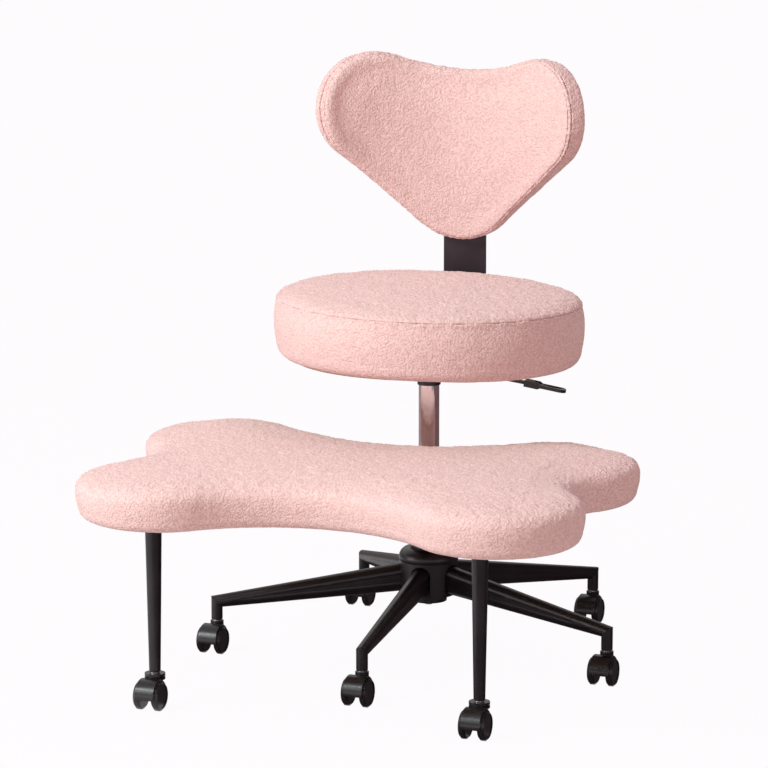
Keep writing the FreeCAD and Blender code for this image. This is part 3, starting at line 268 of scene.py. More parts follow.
class Painter(Nodes):
    """Adds and links the nodes of one new material."""

    def __init__(self, name: str) -> None:
        """Start a material with a plain principled shader.

        Args:
            name: Name of the material.
        """
        self.material = bpy.data.materials.new(name)
        self.material.use_nodes = True
        super().__init__(self.material.node_tree, "Material Output")
        self.shader = self.tree.nodes["Principled BSDF"]

    def dress(self, **inputs: object) -> None:
        """Set or link inputs of the principled shader."""
        for key, value in inputs.items():
            self.put(self.shader, key.replace("_", " "), value)

    def place(self) -> bpy.types.NodeSocket:
        """Object coordinates, in metres."""
        return self.add("TexCoord").outputs["Object"]

    def noise(self, place: bpy.types.NodeSocket, size: float, detail: float = 2.0,
              warp: float = 0.0) -> bpy.types.NodeSocket:
        """Noise of a given lump size in metres."""
        node = self.add("TexNoise", Vector=place, Scale=1.0 / size, Detail=detail, Distortion=warp)
        return node.outputs["Fac"]

    def pebbles(self, place: bpy.types.NodeSocket, size: float) -> bpy.types.NodeSocket:
        """Separate round domes.

        Args:
            place: Coordinates to read.
            size: Width of one dome in metres.

        Returns:
            Height from 0 between the domes to 1 on top.
        """
        cells = self.add("TexVoronoi", {"feature": "F1"}, Vector=place, Scale=1.0 / size)
        steepness = 1.3
        gap = self.math("MULTIPLY", cells.outputs["Distance"], steepness)
        return self.math("MAXIMUM", self.math("SUBTRACT", 1.0, self.math("MULTIPLY", gap, gap)), 0.0)

    def span(self, fac: bpy.types.NodeSocket, low: float, high: float) -> bpy.types.NodeSocket:
        """Value from 0 to 1 brought to a range."""
        node = self.add("MapRange", Value=fac, To_Min=low, To_Max=high)
        return node.outputs["Result"]

    def glow(self, colour: Colour) -> bpy.types.NodeSocket:
        """Even light of one colour."""
        return self.add("Emission", Color=(*colour, 1.0), Strength=1.0).outputs[0]

    def bump(self, height: bpy.types.NodeSocket, depth: float, strength: float = 1.0) -> None:
        """Raise the surface by a height from 0 to 1.

        Args:
            height: Height to read.
            depth: Rise in metres at a height of 1.
            strength: Share of the effect.
        """
        node = self.add("Bump", Height=height, Distance=depth, Strength=strength)
        self.put(self.shader, "Normal", node.outputs["Normal"])


@dataclass(frozen=True)
class CurlyPile:
    """Short curly pile cloth: small lumps of fine hair with a pale bloom."""

    name: str = "pink_curly_pile"
    tip: Colour = (0.84, 0.61, 0.58)
    mid: Colour = (0.775, 0.55, 0.52)
    # Colour of the pits between the curls: painted shade.
    pit_shade: Colour = (0.71, 0.49, 0.46)
    bloom: Colour = (1.0, 0.93, 0.91)
    curl: float = 2.7 * MM
    hair: float = 1.0 * MM
    blotch: float = 8.0 * MM
    depth: float = 0.9 * MM
    curl_share: float = 0.65
    blotch_share: float = 0.5

    def material(self) -> bpy.types.Material:
        """Material with curls, fine hair and a soft sheen, its colour painted darker in the pits between
        the curls as shade, with random blotches.

        Returns:
            The cloth.
        """
        paint = Painter(self.name)
        place = paint.place()
        curls = paint.pebbles(place, self.curl)
        hairs = paint.noise(place, self.hair, 2.0)
        blotch = paint.math("SUBTRACT", paint.noise(place, self.blotch, 3.0), 0.5)
        curls = paint.math("MULTIPLY", curls, self.curl_share)
        height = paint.math("ADD", curls, paint.math("MULTIPLY", hairs, 1.0 - self.curl_share))
        # Painted shade: the colour darkens in the pits between the curls and pales on their tips, mixed
        # with random blotches.
        pit_shade_and_blotch = paint.math("ADD", height, paint.math("MULTIPLY", blotch, self.blotch_share))
        colour = paint.ramp(pit_shade_and_blotch, ((0.25, self.pit_shade), (0.50, self.mid), (0.75, self.tip)))
        paint.dress(Base_Color=colour, Roughness=0.95, Sheen_Weight=0.35, Sheen_Roughness=0.42)
        paint.dress(Sheen_Tint=(*self.bloom, 1.0), Specular_IOR_Level=0.1)
        paint.bump(height, self.depth, 1.0)
        return paint.material


@dataclass(frozen=True)
class PowderCoat:
    """Satin black powder coat with a faint orange peel."""

    name: str = "satin_black_coat"
    base: Colour = (0.0058, 0.0036, 0.0051)
    worn: Colour = (0.0105, 0.0068, 0.0096)
    smooth: float = 0.26
    rough: float = 0.40
    gloss: float = 0.42
    cloud: float = 45.0 * MM
    peel: float = 1.4 * MM
    depth: float = 0.10 * MM
    grain_share: float = 0.3

    def material(self) -> bpy.types.Material:
        """Material with uneven gloss and fine texture.

        Returns:
            The paint.
        """
        paint = Painter(self.name)
        place = paint.place()
        cloud = paint.noise(place, self.cloud, 3.0)
        grain = paint.noise(place, self.peel, 2.0)
        uneven = paint.math("ADD", cloud, paint.math("MULTIPLY", grain, self.grain_share))
        paint.dress(Base_Color=paint.ramp(cloud, ((0.35, self.base), (0.75, self.worn))))
        paint.dress(Roughness=paint.span(uneven, self.smooth, self.rough), Specular_IOR_Level=self.gloss)
        paint.bump(grain, self.depth, 0.6)
        return paint.material


@dataclass(frozen=True)
class BrightMetal:
    """Plated or bare metal with fine marks along its length."""

    name: str
    base: Colour
    smooth: float
    rough: float
    marks: float = 0.6 * MM
    cloud: float = 30.0 * MM
    depth: float = 0.01 * MM
    dull: float = 0.82

    def material(self) -> bpy.types.Material:
        """Metal with fine drawn marks and a little unevenness.

        Returns:
            The metal.
        """
        paint = Painter(self.name)
        place = paint.place()
        stretch = paint.add("Mapping", Vector=place, Scale=(1.0, 1.0, 0.04))
        marks = paint.noise(stretch.outputs["Vector"], self.marks, 3.0)
        cloud = paint.noise(place, self.cloud, 2.0)
        tint = tuple(self.dull * c for c in self.base)
        paint.dress(Base_Color=paint.ramp(cloud, ((0.3, tint), (0.6, self.base))), Metallic=1.0)
        paint.dress(Roughness=paint.span(paint.math("MULTIPLY", marks, cloud), self.smooth, self.rough))
        paint.bump(marks, self.depth, 0.3)
        return paint.material


@dataclass(frozen=True)
class MouldedPlastic:
    """Black moulded plastic."""

    name: str
    base: Colour
    smooth: float
    rough: float
    gloss: float = 0.42
    cloud: float = 12.0 * MM
    grain: float = 0.7 * MM
    depth: float = 0.03 * MM
    pale_gain: float = 1.7
    pale_lift: float = 0.002

    def material(self) -> bpy.types.Material:
        """Plastic with a fine mould grain and uneven gloss.

        Returns:
            The plastic.
        """
        paint = Painter(self.name)
        place = paint.place()
        cloud = paint.noise(place, self.cloud, 3.0)
        grain = paint.noise(place, self.grain, 2.0)
        pale = tuple(self.pale_gain * c + self.pale_lift for c in self.base)
        paint.dress(Base_Color=paint.ramp(cloud, ((0.4, self.base), (0.8, pale))))
        paint.dress(Roughness=paint.span(cloud, self.smooth, self.rough), Specular_IOR_Level=self.gloss)
        paint.bump(grain, self.depth, 0.5)
        return paint.material


@dataclass(frozen=True)
class Plywood:
    """Raw plywood with long grain and fine pores."""

    name: str = "raw_plywood"
    pale: Colour = (0.62, 0.46, 0.28)
    dark: Colour = (0.40, 0.26, 0.14)
    smooth: float = 0.55
    rough: float = 0.8
    grain: float = 9.0 * MM
    pores: float = 1.2 * MM
    grain_share: float = 0.75
    depth: float = 0.15 * MM

    def material(self) -> bpy.types.Material:
        """Wood with stretched grain and fine pores.

        Returns:
            The wood.
        """
        paint = Painter(self.name)
        place = paint.place()
        stretch = paint.add("Mapping", Vector=place, Scale=(0.12, 1.0, 1.0))
        grain = paint.noise(stretch.outputs["Vector"], self.grain, 5.0, 1.2)
        pores = paint.noise(stretch.outputs["Vector"], self.pores, 2.0)
        grain = paint.math("MULTIPLY", grain, self.grain_share)
        both = paint.math("ADD", grain, paint.math("MULTIPLY", pores, 1.0 - self.grain_share))
        paint.dress(Base_Color=paint.ramp(both, ((0.32, self.dark), (0.62, self.pale))))
        paint.dress(Roughness=paint.span(pores, self.smooth, self.rough))
        paint.bump(both, self.depth, 0.5)
        return paint.material


FINISHES: dict[Slot, object] = {
    Slot.FABRIC: CurlyPile(),
    Slot.PAINT: PowderCoat(),
    Slot.CHROME: BrightMetal("chrome_plate", (0.93, 0.88, 0.88), 0.06, 0.15),
    Slot.STEEL: BrightMetal("bright_steel", (0.62, 0.61, 0.61), 0.22, 0.42),
    Slot.PLASTIC: MouldedPlastic("black_moulding", (0.007, 0.006, 0.007), 0.24, 0.36),
    Slot.WHEEL: MouldedPlastic("wheel_moulding", (0.008, 0.007, 0.008), 0.28, 0.42),
    Slot.PLYWOOD: Plywood(),
}

# Lighter copy of the black coat for the backrest bar: painted light, as the bar stands more in the light
# than the base.
LIT_BAR_FINISH = PowderCoat("bar_coat_painted_light", (0.017, 0.0125, 0.0185), (0.025, 0.0185, 0.026))


class Wardrobe:
    """Keeps one material for each slot."""

    def __init__(self) -> None:
        """Start with nothing made."""
        self.made: dict[Slot, bpy.types.Material] = {}

    def get(self, slot: Slot) -> bpy.types.Material:
        """Material of a slot, made on first use.

        Args:
            slot: Slot to look up.

        Returns:
            Its material.
        """
        if slot not in self.made:
            self.made[slot] = FINISHES[slot].material()
        return self.made[slot]

    def dress_frame(self) -> None:
        """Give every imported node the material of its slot."""
        slot_of = {row["node"]: Slot(row["material_slot"]) for row in frame["record"]["subparts"]}
        for name, node in frame["nodes"].items():
            node.data.materials.clear()
            node.data.materials.append(self.get(slot_of[name]))
        # The bar takes its lighter copy of the coat, which is painted light.
        frame["nodes"]["backrest_bar"].data.materials[0] = LIT_BAR_FINISH.material()
        LOG.info("dressed %d nodes", len(slot_of))


# Mesh helpers


def new_mesh(name: str, points: Points, faces: Sequence[Sequence[int]]) -> bpy.types.Object:
    """Object made from points and faces, shaded smooth.

    Args:
        name: Name of the object.
        points: Its points, in metres.
        faces: Point numbers of each face.

    Returns:
        The object, linked to the scene.
    """
    mesh = bpy.data.meshes.new(name)
    mesh.from_pydata([tuple(p) for p in points], [], [tuple(f) for f in faces])
    mesh.validate()
    mesh.polygons.foreach_set("use_smooth", [True] * len(mesh.polygons))
    mesh.update()
    obj = bpy.data.objects.new(name, mesh)
    bpy.context.scene.collection.objects.link(obj)
    return obj


def rows_of(items: bpy.types.bpy_prop_collection, field: str) -> Points:
    """Places or normals of a mesh's points.

    Args:
        items: Points or normals of the mesh.
        field: Name of the value that holds three numbers.

    Returns:
        One row of three for each item.
    """
    flat = np.empty(len(items) * 3)
    items.foreach_get(field, flat)
    return flat.reshape(-1, 3)


def turned(points: Points, angle: float) -> Points:
    """Points swung round the column.

    Args:
        points: Points to swing.
        angle: Angle in radians.

    Returns:
        The points in their new places.
    """
    c, s = math.cos(angle), math.sin(angle)
    out = points.copy()
    out[:, 0] = points[:, 0] * c - points[:, 1] * s
    out[:, 1] = points[:, 0] * s + points[:, 1] * c
    return out


# Cushion forms


@dataclass(frozen=True)
class RoundOutline:
    """Round outline about the column."""

    radius: float

    def ring(self, inset: float, spacing: float) -> Points:
        """Points of the circle drawn in, as many for any inset.

        Args:
            inset: Distance to draw it in.
            spacing: Distance between points of the full circle.

        Returns:
            Points in plan, anticlockwise.
        """
        count = max(24, round(2 * math.pi * self.radius / spacing))
        a = np.arange(count) * 2 * math.pi / count
        r = self.radius - inset
        return np.stack([r * np.cos(a), r * np.sin(a)], axis=1)


@dataclass(frozen=True)
class LobedOutline:
    """Round lobes, anticlockwise, joined by hollow arcs."""

    lobes: tuple[tuple[float, float, float], ...]
    blends: tuple[float, ...]

    def circles(self) -> list[tuple[Points, float, int]]:
        """Arcs of the outline in order.

        Returns:
            Centre and radius of each arc, with 1 for a lobe and -1 for a hollow.
        """
        found = []
        for index, lobe in enumerate(self.lobes):
            following = self.lobes[(index + 1) % len(self.lobes)]
            blend = self.blends[index]
            start = np.array(lobe[:2])
            along = np.array(following[:2]) - start
            gap = np.linalg.norm(along)
            along = along / gap
            outward = np.array([along[1], -along[0]])
            near, far = lobe[2] + blend, following[2] + blend
            run = (near ** 2 - far ** 2 + gap ** 2) / (2 * gap)
            centre = start + along * run + outward * math.sqrt(near ** 2 - run ** 2)
            found.append((start, lobe[2], 1))
            found.append((centre, blend, -1))
        return found

    def ring(self, inset: float, spacing: float) -> Points:
        """Points of the outline drawn in, as many for any inset.

        Args:
            inset: Distance to draw it in.
            spacing: Distance between points of the full outline.

        Returns:
            Points in plan, anticlockwise.
        """
        arcs = self.circles()
        out = []
        for index, (centre, radius, side) in enumerate(arcs):
            before = arcs[index - 1][0] - centre
            after = arcs[(index + 1) % len(arcs)][0] - centre
            start = math.atan2(before[1], before[0])
            sweep = (math.atan2(after[1], after[0]) - start) * side % (2 * math.pi) * side
            steps = max(3, round(abs(sweep) * radius / spacing))
            a = start + sweep * np.arange(steps) / steps
            r = radius - side * inset
            out.append(np.stack([centre[0] + r * np.cos(a), centre[1] + r * np.sin(a)], axis=1))
        return np.concatenate(out)


@dataclass(frozen=True)
class Stretch:
    """Part of a cushion's profile: an arc or a line in (inset, level), and how it is held."""

    zone: Zone
    corners: tuple[tuple[float, float], ...]

    def sampled(self, step: float) -> Points:
        """Points along the stretch, without its last one.

        Args:
            step: Distance between points.

        Returns:
            Rows of inset and level; three corners make a smooth bend, two a line.
        """
        c = np.array(self.corners, float)
        length = float(np.sum(np.linalg.norm(np.diff(c, axis=0), axis=1)))
        count = max(1, round(length / step))
        t = (np.arange(count) / count)[:, None]
        if len(c) == 2:
            return c[0] + (c[1] - c[0]) * t
        return c[0] * (1 - t) ** 2 + 2 * c[1] * t * (1 - t) + c[2] * t ** 2


def chained(start: tuple[float, float], *legs: tuple) -> tuple[Stretch, ...]:
    """Profile whose stretches each start where the one before ends.

    Args:
        start: First corner of the profile.
        *legs: Zone of each stretch, followed by its other corners.

    Returns:
        The stretches in order.
    """
    stretches = []
    for zone, *corners in legs:
        stretches.append(Stretch(zone, (start, *corners)))
        start = corners[-1]
    return tuple(stretches)


@dataclass
class CushionMesh:
    """Points and faces of a cushion before its sculpting."""

    points: Points
    faces: list[tuple[int, ...]]
    zones: np.ndarray
    along: np.ndarray


def filled_ring(ring: Points, spacing: float) -> tuple[Points, list[tuple[int, ...]]]:
    """Triangles that close a ring with evenly spread points inside it.

    Args:
        ring: Closed outline, anticlockwise.
        spacing: Distance between inner points; 0 leaves the inside empty.

    Returns:
        Inner points, and faces that number the ring first and the inner points after it.
    """
    count = len(ring)
    inner = np.empty((0, 2))
    if spacing > 0:
        low, high = ring.min(0), ring.max(0)
        rows = np.arange(low[1], high[1], spacing * math.sqrt(0.75))
        grid = []
        for index, y in enumerate(rows):
            x = np.arange(low[0] + (index % 2) * spacing / 2, high[0], spacing)
            grid.append(np.stack([x, np.full(len(x), y)], axis=1))
        grid = np.concatenate(grid)
        start, end = ring, np.roll(ring, -1, axis=0)
        crossings = np.zeros(len(grid), int)
        for a, b in zip(start, end):
            if a[1] == b[1]:
                continue
            spans = (grid[:, 1] >= min(a[1], b[1])) & (grid[:, 1] < max(a[1], b[1]))
            x = a[0] + (grid[:, 1] - a[1]) * (b[0] - a[0]) / (b[1] - a[1])
            crossings += spans & (grid[:, 0] < x)
        tree = ring_tree(ring)
        gaps = np.array([tree.find((p[0], p[1], 0.0))[2] for p in grid])
        margin = spacing * 0.6
        inner = grid[(crossings % 2 == 1) & (gaps > margin)]
    spots = [Vector(p) for p in np.concatenate([ring, inner])]
    edges = [(i, (i + 1) % count) for i in range(count)]
    result = geometry.delaunay_2d_cdt(spots, edges, [list(range(count))], 1, 1e-9)
    origin = [o[0] for o in result[3]]
    faces = [tuple(origin[i] for i in face) for face in result[2]]
    return inner, faces


def ring_tree(ring: Points) -> kdtree.KDTree:
    """Search tree over the points of a flat ring.

    Args:
        ring: Points in plan.

    Returns:
        The balanced tree.
    """
    tree = kdtree.KDTree(len(ring))
    for index, p in enumerate(ring):
        tree.insert((p[0], p[1], 0.0), index)
    tree.balance()
    return tree


def across(points: Points) -> np.ndarray:
    """Distance of each point to the right of the column as the photograph shows it."""
    return points @ np.array(ACROSS)


def near(points: Points, spot: tuple[float, float], width: float) -> np.ndarray:
    """Value from 0 to 1 that fades with the distance from a spot in plan."""
    return np.exp(-((points[:, :2] - np.array(spot)) ** 2).sum(axis=1) / width ** 2)


def smooth_step(x: np.ndarray) -> np.ndarray:
    """Value from 0 to 1 that starts and ends level."""
    x = np.clip(x, 0.0, 1.0)
    return x * x * (3 - 2 * x)


@dataclass
class Cushion:
    """Closed cushion made from an outline and a profile that runs from its pocket to its face."""

    name: str
    outline: RoundOutline | LobedOutline
    profile: tuple[Stretch, ...]
    place: Callable[[Points, np.ndarray], Points]
    crown: Callable[[np.ndarray], np.ndarray]
    settle: Callable[[Points], Points]
    spacing: float
    body: Body
    nodes: tuple[str, ...]
    loose_rim: bool = True
    rim_ramp: float = 8.0 * MM
    coarseness: float = 3.2
    seam_fineness: float = 0.45
    seam_hold: float = 0.8
    neighbours: int = 5
    frames: int = 20
    pressure: float = 3.0
    cap: float = 4.0 * MM
    ironing: int = 6
    fill: float = 0.85
    tuft: float = 3.6 * MM
    tuft_height: float = 0.8 * MM
    tuft_level: float = 0.6
    swirl: float = 7.0 * MM
    swirl_reach: float = 1.6 * MM
    waves: tuple[tuple[float, float, int], ...] = ((60 * MM, 0.7 * MM, 21), (22 * MM, 0.25 * MM, 22))
    crush: tuple[float, float, int] = (9 * MM, 0.35 * MM, 23)
    under_pile: float = 0.5
    side_pile: float = 0.65
    top_pile: float = 1.6
    stitch: float = 5.5 * MM
    pucker: float = 0.25 * MM
    seam_cover: float = 0.8 * MM

    def mesh(self, spacing: float) -> CushionMesh:
        """Mesh of the cushion at a given fineness.

        Args:
            spacing: Distance between neighbouring points.

        Returns:
            Its points and faces, with where each point lies on the profile.
        """
        rows, zones, slack = [], [], []
        for stretch in self.profile:
            fineness = self.seam_fineness if stretch.zone is Zone.SEAM else 1.0
            part = stretch.sampled(spacing * fineness)
            rows.append(part)
            zones += [stretch.zone.value] * len(part)
            in_pocket = stretch.zone is Zone.POCKET
            slack += (np.arange(len(part)) / len(part)).tolist() if in_pocket else [1.0] * len(part)
        last = self.profile[-1].corners[-1]
        rows.append(np.array([last]))
        zones.append(self.profile[-1].zone.value)
        slack.append(1.0)
        rows = np.concatenate(rows)
        rings = [self.outline.ring(inset, spacing) for inset, _ in rows]
        count = len(rings[0])
        faces: list[tuple[int, ...]] = []
        for row in range(len(rows) - 1):
            a, b = row * count, (row + 1) * count
            faces += [(a + i, a + (i + 1) % count, b + (i + 1) % count, b + i) for i in range(count)]
        inner, top = filled_ring(rings[-1], spacing)
        first_inner = len(rows) * count
        shift = (len(rows) - 1) * count
        faces += [tuple(i + shift if i < count else first_inner + i - count for i in f) for f in top]
        _, under = filled_ring(rings[0], 0.0)
        faces += [tuple(reversed(f)) for f in under]
        tree = ring_tree(rings[-1])
        depth = np.array([tree.find((p[0], p[1], 0.0))[2] for p in inner])
        plan = np.concatenate(rings + [inner])
        inset = np.concatenate([np.repeat(rows[:, 0], count), rows[-1, 0] + depth])
        steps = np.linalg.norm(np.roll(rings[0], -1, axis=0) - rings[0], axis=1)
        run = np.concatenate([[0.0], np.cumsum(steps)[:-1]])
        along = np.concatenate([np.tile(run, len(rows)), np.zeros(len(inner))])
        level = np.concatenate([np.repeat(rows[:, 1], count), np.full(len(inner), rows[-1, 1])])
        zone = np.concatenate([np.repeat(zones, count), np.full(len(inner), Zone.FREE.value)])
        face_side = zone == Zone.FREE.value
        level = level + np.where(face_side, self.crown(inset), 0.0)
        points = self.place(plan, level)
        loose = np.concatenate([np.repeat(slack, count), np.ones(len(inner))])
        if not self.loose_rim:
            pocket = self.profile[0].corners[0][0]
            ramp = smooth_step((pocket - inset) / self.rim_ramp)
            loose = np.where(zone >= Zone.SEAM.value, 1.0, np.where(zone == Zone.UNDER.value, ramp, 0.0))
        points += self.settle(points) * loose[:, None]
        return CushionMesh(points, faces, zone, along)

    def swollen(self, form: CushionMesh, coarse: CushionMesh, moves: Points) -> Points:
        """Fine points moved as the simulated coarse ones near them moved.

        Args:
            form: Fine mesh.
            coarse: Mesh that was simulated.
            moves: Movement of each coarse point.

        Returns:
            Places of the fine points.
        """
        tree = kdtree.KDTree(len(coarse.points))
        for index, p in enumerate(coarse.points):
            tree.insert(p, index)
        tree.balance()
        out = form.points.copy()
        for index, p in enumerate(form.points):
            found = tree.find_n(p, self.neighbours)
            weights = np.array([1.0 / (n[2] + 1e-4) ** 2 for n in found])
            out[index] += weights @ moves[[n[1] for n in found]] / weights.sum()
        return out

    def simulated(self, coarse: CushionMesh) -> Points:
        """Movement of each coarse point when the pad is blown up like stuffed cloth.

        Args:
            coarse: Mesh to simulate.

        Returns:
            Moves, none longer than the cap.
        """
        obj = new_mesh(self.name + "_trial", coarse.points, coarse.faces)
        held = obj.vertex_groups.new(name="held")
        for zone, weight in ((Zone.POCKET, 1.0), (Zone.UNDER, 1.0), (Zone.SEAM, self.seam_hold)):
            spots = np.nonzero(coarse.zones == zone.value)[0].tolist()
            held.add(spots, weight, "REPLACE")
        cloth = obj.modifiers.new("stuffing", "CLOTH")
        settings = cloth.settings
        settings.quality = 6
        settings.mass = 0.3
        settings.tension_stiffness = 25
        settings.compression_stiffness = 25
        settings.shear_stiffness = 12
        settings.bending_stiffness = 4
        settings.use_pressure = True
        settings.uniform_pressure_force = self.pressure
        settings.vertex_group_mass = "held"
        settings.effector_weights.gravity = 0
        cloth.collision_settings.use_collision = False
        cloth.point_cache.frame_start = 1
        cloth.point_cache.frame_end = self.frames
        scene = bpy.context.scene
        for step in range(1, self.frames + 1):
            scene.frame_set(step)
        shaped = obj.evaluated_get(bpy.context.evaluated_depsgraph_get())
        moves = rows_of(shaped.data.vertices, "co") - coarse.points
        scene.frame_set(1)
        bpy.data.objects.remove(obj)
        free = (coarse.zones == Zone.FREE.value)[:, None]
        small = [face for face in coarse.faces if len(face) < 9]
        pairs = np.array([(face[i - 1], face[i]) for face in small for i in range(len(face))])
        for _ in range(self.ironing):
            total, count = np.zeros_like(moves), np.zeros((len(moves), 1))
            for here, there in (pairs.T, pairs.T[::-1]):
                np.add.at(total, here, moves[there])
                np.add.at(count, here, 1.0)
            moves = np.where(free, total / np.maximum(count, 1.0), moves)
        length = np.linalg.norm(moves, axis=1, keepdims=True)
        return moves * np.minimum(1.0, self.cap / np.maximum(length, 1e-9))

    def sculpt(self, form: CushionMesh, points: Points, normals: Points) -> Points:
        """Sewing marks and pile on top of the swollen form.

        Args:
            form: Mesh before the simulation.
            points: Swollen points.
            normals: Their normals.

        Returns:
            Finished points.
        """
        show = np.where(form.zones >= Zone.SEAM.value, 1.0, 0.0)
        show = np.where(form.zones == Zone.UNDER.value, self.under_pile, show)
        warp = np.stack([value_noise(points, self.swirl, k) for k in (3, 4, 5)], axis=1)
        height = tuft_noise(points + warp * self.swirl_reach, self.tuft, 11) - self.tuft_level
        wave = sum(value_noise(points, size, salt) * rise for size, rise, salt in self.waves)
        size, rise, salt = self.crush
        crushed = value_noise(points, size, salt) * rise + height * self.tuft_height
        upward = np.clip(normals[:, 2], 0.0, 1.0)
        lift = (wave + crushed * (self.side_pile + self.top_pile * upward)) * show
        sewn = np.where(form.zones == Zone.SEAM.value, 1.0, 0.0)
        pucker = self.pucker * np.sin(2 * math.pi * form.along / self.stitch)
        cover = self.seam_cover * smooth_step(value_noise(points, self.swirl, 31) * 1.5 + 0.2)
        lift = lift + (pucker + cover) * sewn
        return points + normals * lift[:, None]

    def build(self, wardrobe: Wardrobe) -> bpy.types.Object:
        """Make the cushion and set it on its body.

        Args:
            wardrobe: Source of its material.

        Returns:
            The finished cushion.
        """
        form = self.mesh(self.spacing)
        points = form.points
        coarse = self.mesh(self.spacing * self.coarseness)
        points = self.swollen(form, coarse, self.simulated(coarse))
        obj = new_mesh(self.name, points, form.faces)
        done = self.sculpt(form, points, rows_of(obj.data.vertex_normals, "vector"))
        obj.data.vertices.foreach_set("co", done.ravel())
        obj.data.update()
        obj.data.materials.append(wardrobe.get(Slot.FABRIC))
        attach(obj, self.body.value)
        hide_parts(*self.nodes)
        triangles = sum(len(face) - 2 for face in form.faces)
        LOG.info("%s: %d triangles", self.name, triangles)
        return obj


@dataclass
class SeatPad:
    """Round seat cushion with a sewn edge between its top and its side."""

    radius: float = 210 * MM
    bottom: float = 409.5 * MM
    seam: float = 489.5 * MM
    top: float = 512.5 * MM
    board: float = 184 * MM
    board_top: float = 421.2 * MM
    gap: float = 1.0 * MM
    under_roll: float = 20 * MM
    stitch_gap: float = 1.1 * MM
    edge_width: float = 34 * MM
    edge_rise: float = 11.5 * MM
    sink: float = 1.3 * MM
    lean: float = math.radians(1.4)
    rim: float = 25 * MM
    rim_lift: float = 0.9 * MM
    rim_fall: float = 2.0 * MM
    spacing: float = 2.0 * MM

    def cushion(self) -> Cushion:
        """Cushion form of the seat.

        Returns:
            The cushion, ready to build.
        """
        pocket = self.radius - self.board - self.gap
        roof = self.board_top + self.gap
        low = self.bottom + self.under_roll
        middle = (self.bottom + self.seam) / 2 + 8 * MM
        shoulder = self.seam + self.edge_rise
        profile = chained(
            (pocket, roof),
            (Zone.POCKET, (pocket, self.bottom)),
            (Zone.UNDER, (21 * MM, self.bottom)),
            (Zone.UNDER, (4.5 * MM, self.bottom + 1 * MM), (3.2 * MM, low)),
            (Zone.FREE, (-3.2 * MM, middle), (3.0 * MM, self.seam - 4 * MM)),
            (Zone.SEAM, (3.1 * MM, self.seam - self.stitch_gap)),
            (Zone.SEAM, (5.4 * MM, self.seam)),
            (Zone.SEAM, (3.9 * MM, self.seam + self.stitch_gap)),
            (Zone.FREE, (7.0 * MM, shoulder - 3.0 * MM), (self.edge_width, shoulder)),
        )
        return Cushion("seat_pad", RoundOutline(self.radius), profile, self.place, self.crown, self.settle,
                       self.spacing, Body.SEAT, ("seat_cushion",), pressure=1.2, cap=1.6 * MM, ironing=10)

    def settle(self, points: Points) -> Points:
        """Sag of the foam, a little deeper on the right, with the lower edge drawn up on the left.

        Args:
            points: Points of the cushion.

        Returns:
            Move of each point.
        """
        side = across(points)
        low = 1 - smooth_step((points[:, 2] - self.bottom) / self.rim)
        drop = -self.sink - math.tan(self.lean) * side
        drop += low * (self.rim_lift - self.rim_fall * np.maximum(side, 0.0) / self.radius)
        return np.outer(drop, (0.0, 0.0, 1.0))

    def crown(self, inset: np.ndarray) -> np.ndarray:
        """Rise of the top towards the middle.

        Args:
            inset: Distance of each point from the edge.

        Returns:
            Rise of each point.
        """
        rise = self.top - self.seam - self.edge_rise
        share = np.clip((inset - self.edge_width) / (self.radius - self.edge_width), 0.0, 1.0)
        return rise * (1 - (1 - share) ** 2)

    def place(self, plan: Points, level: np.ndarray) -> Points:
        """Points set at their levels and turned with the seat."""
        return turned(np.column_stack([plan, level]), SEAT_TURN)


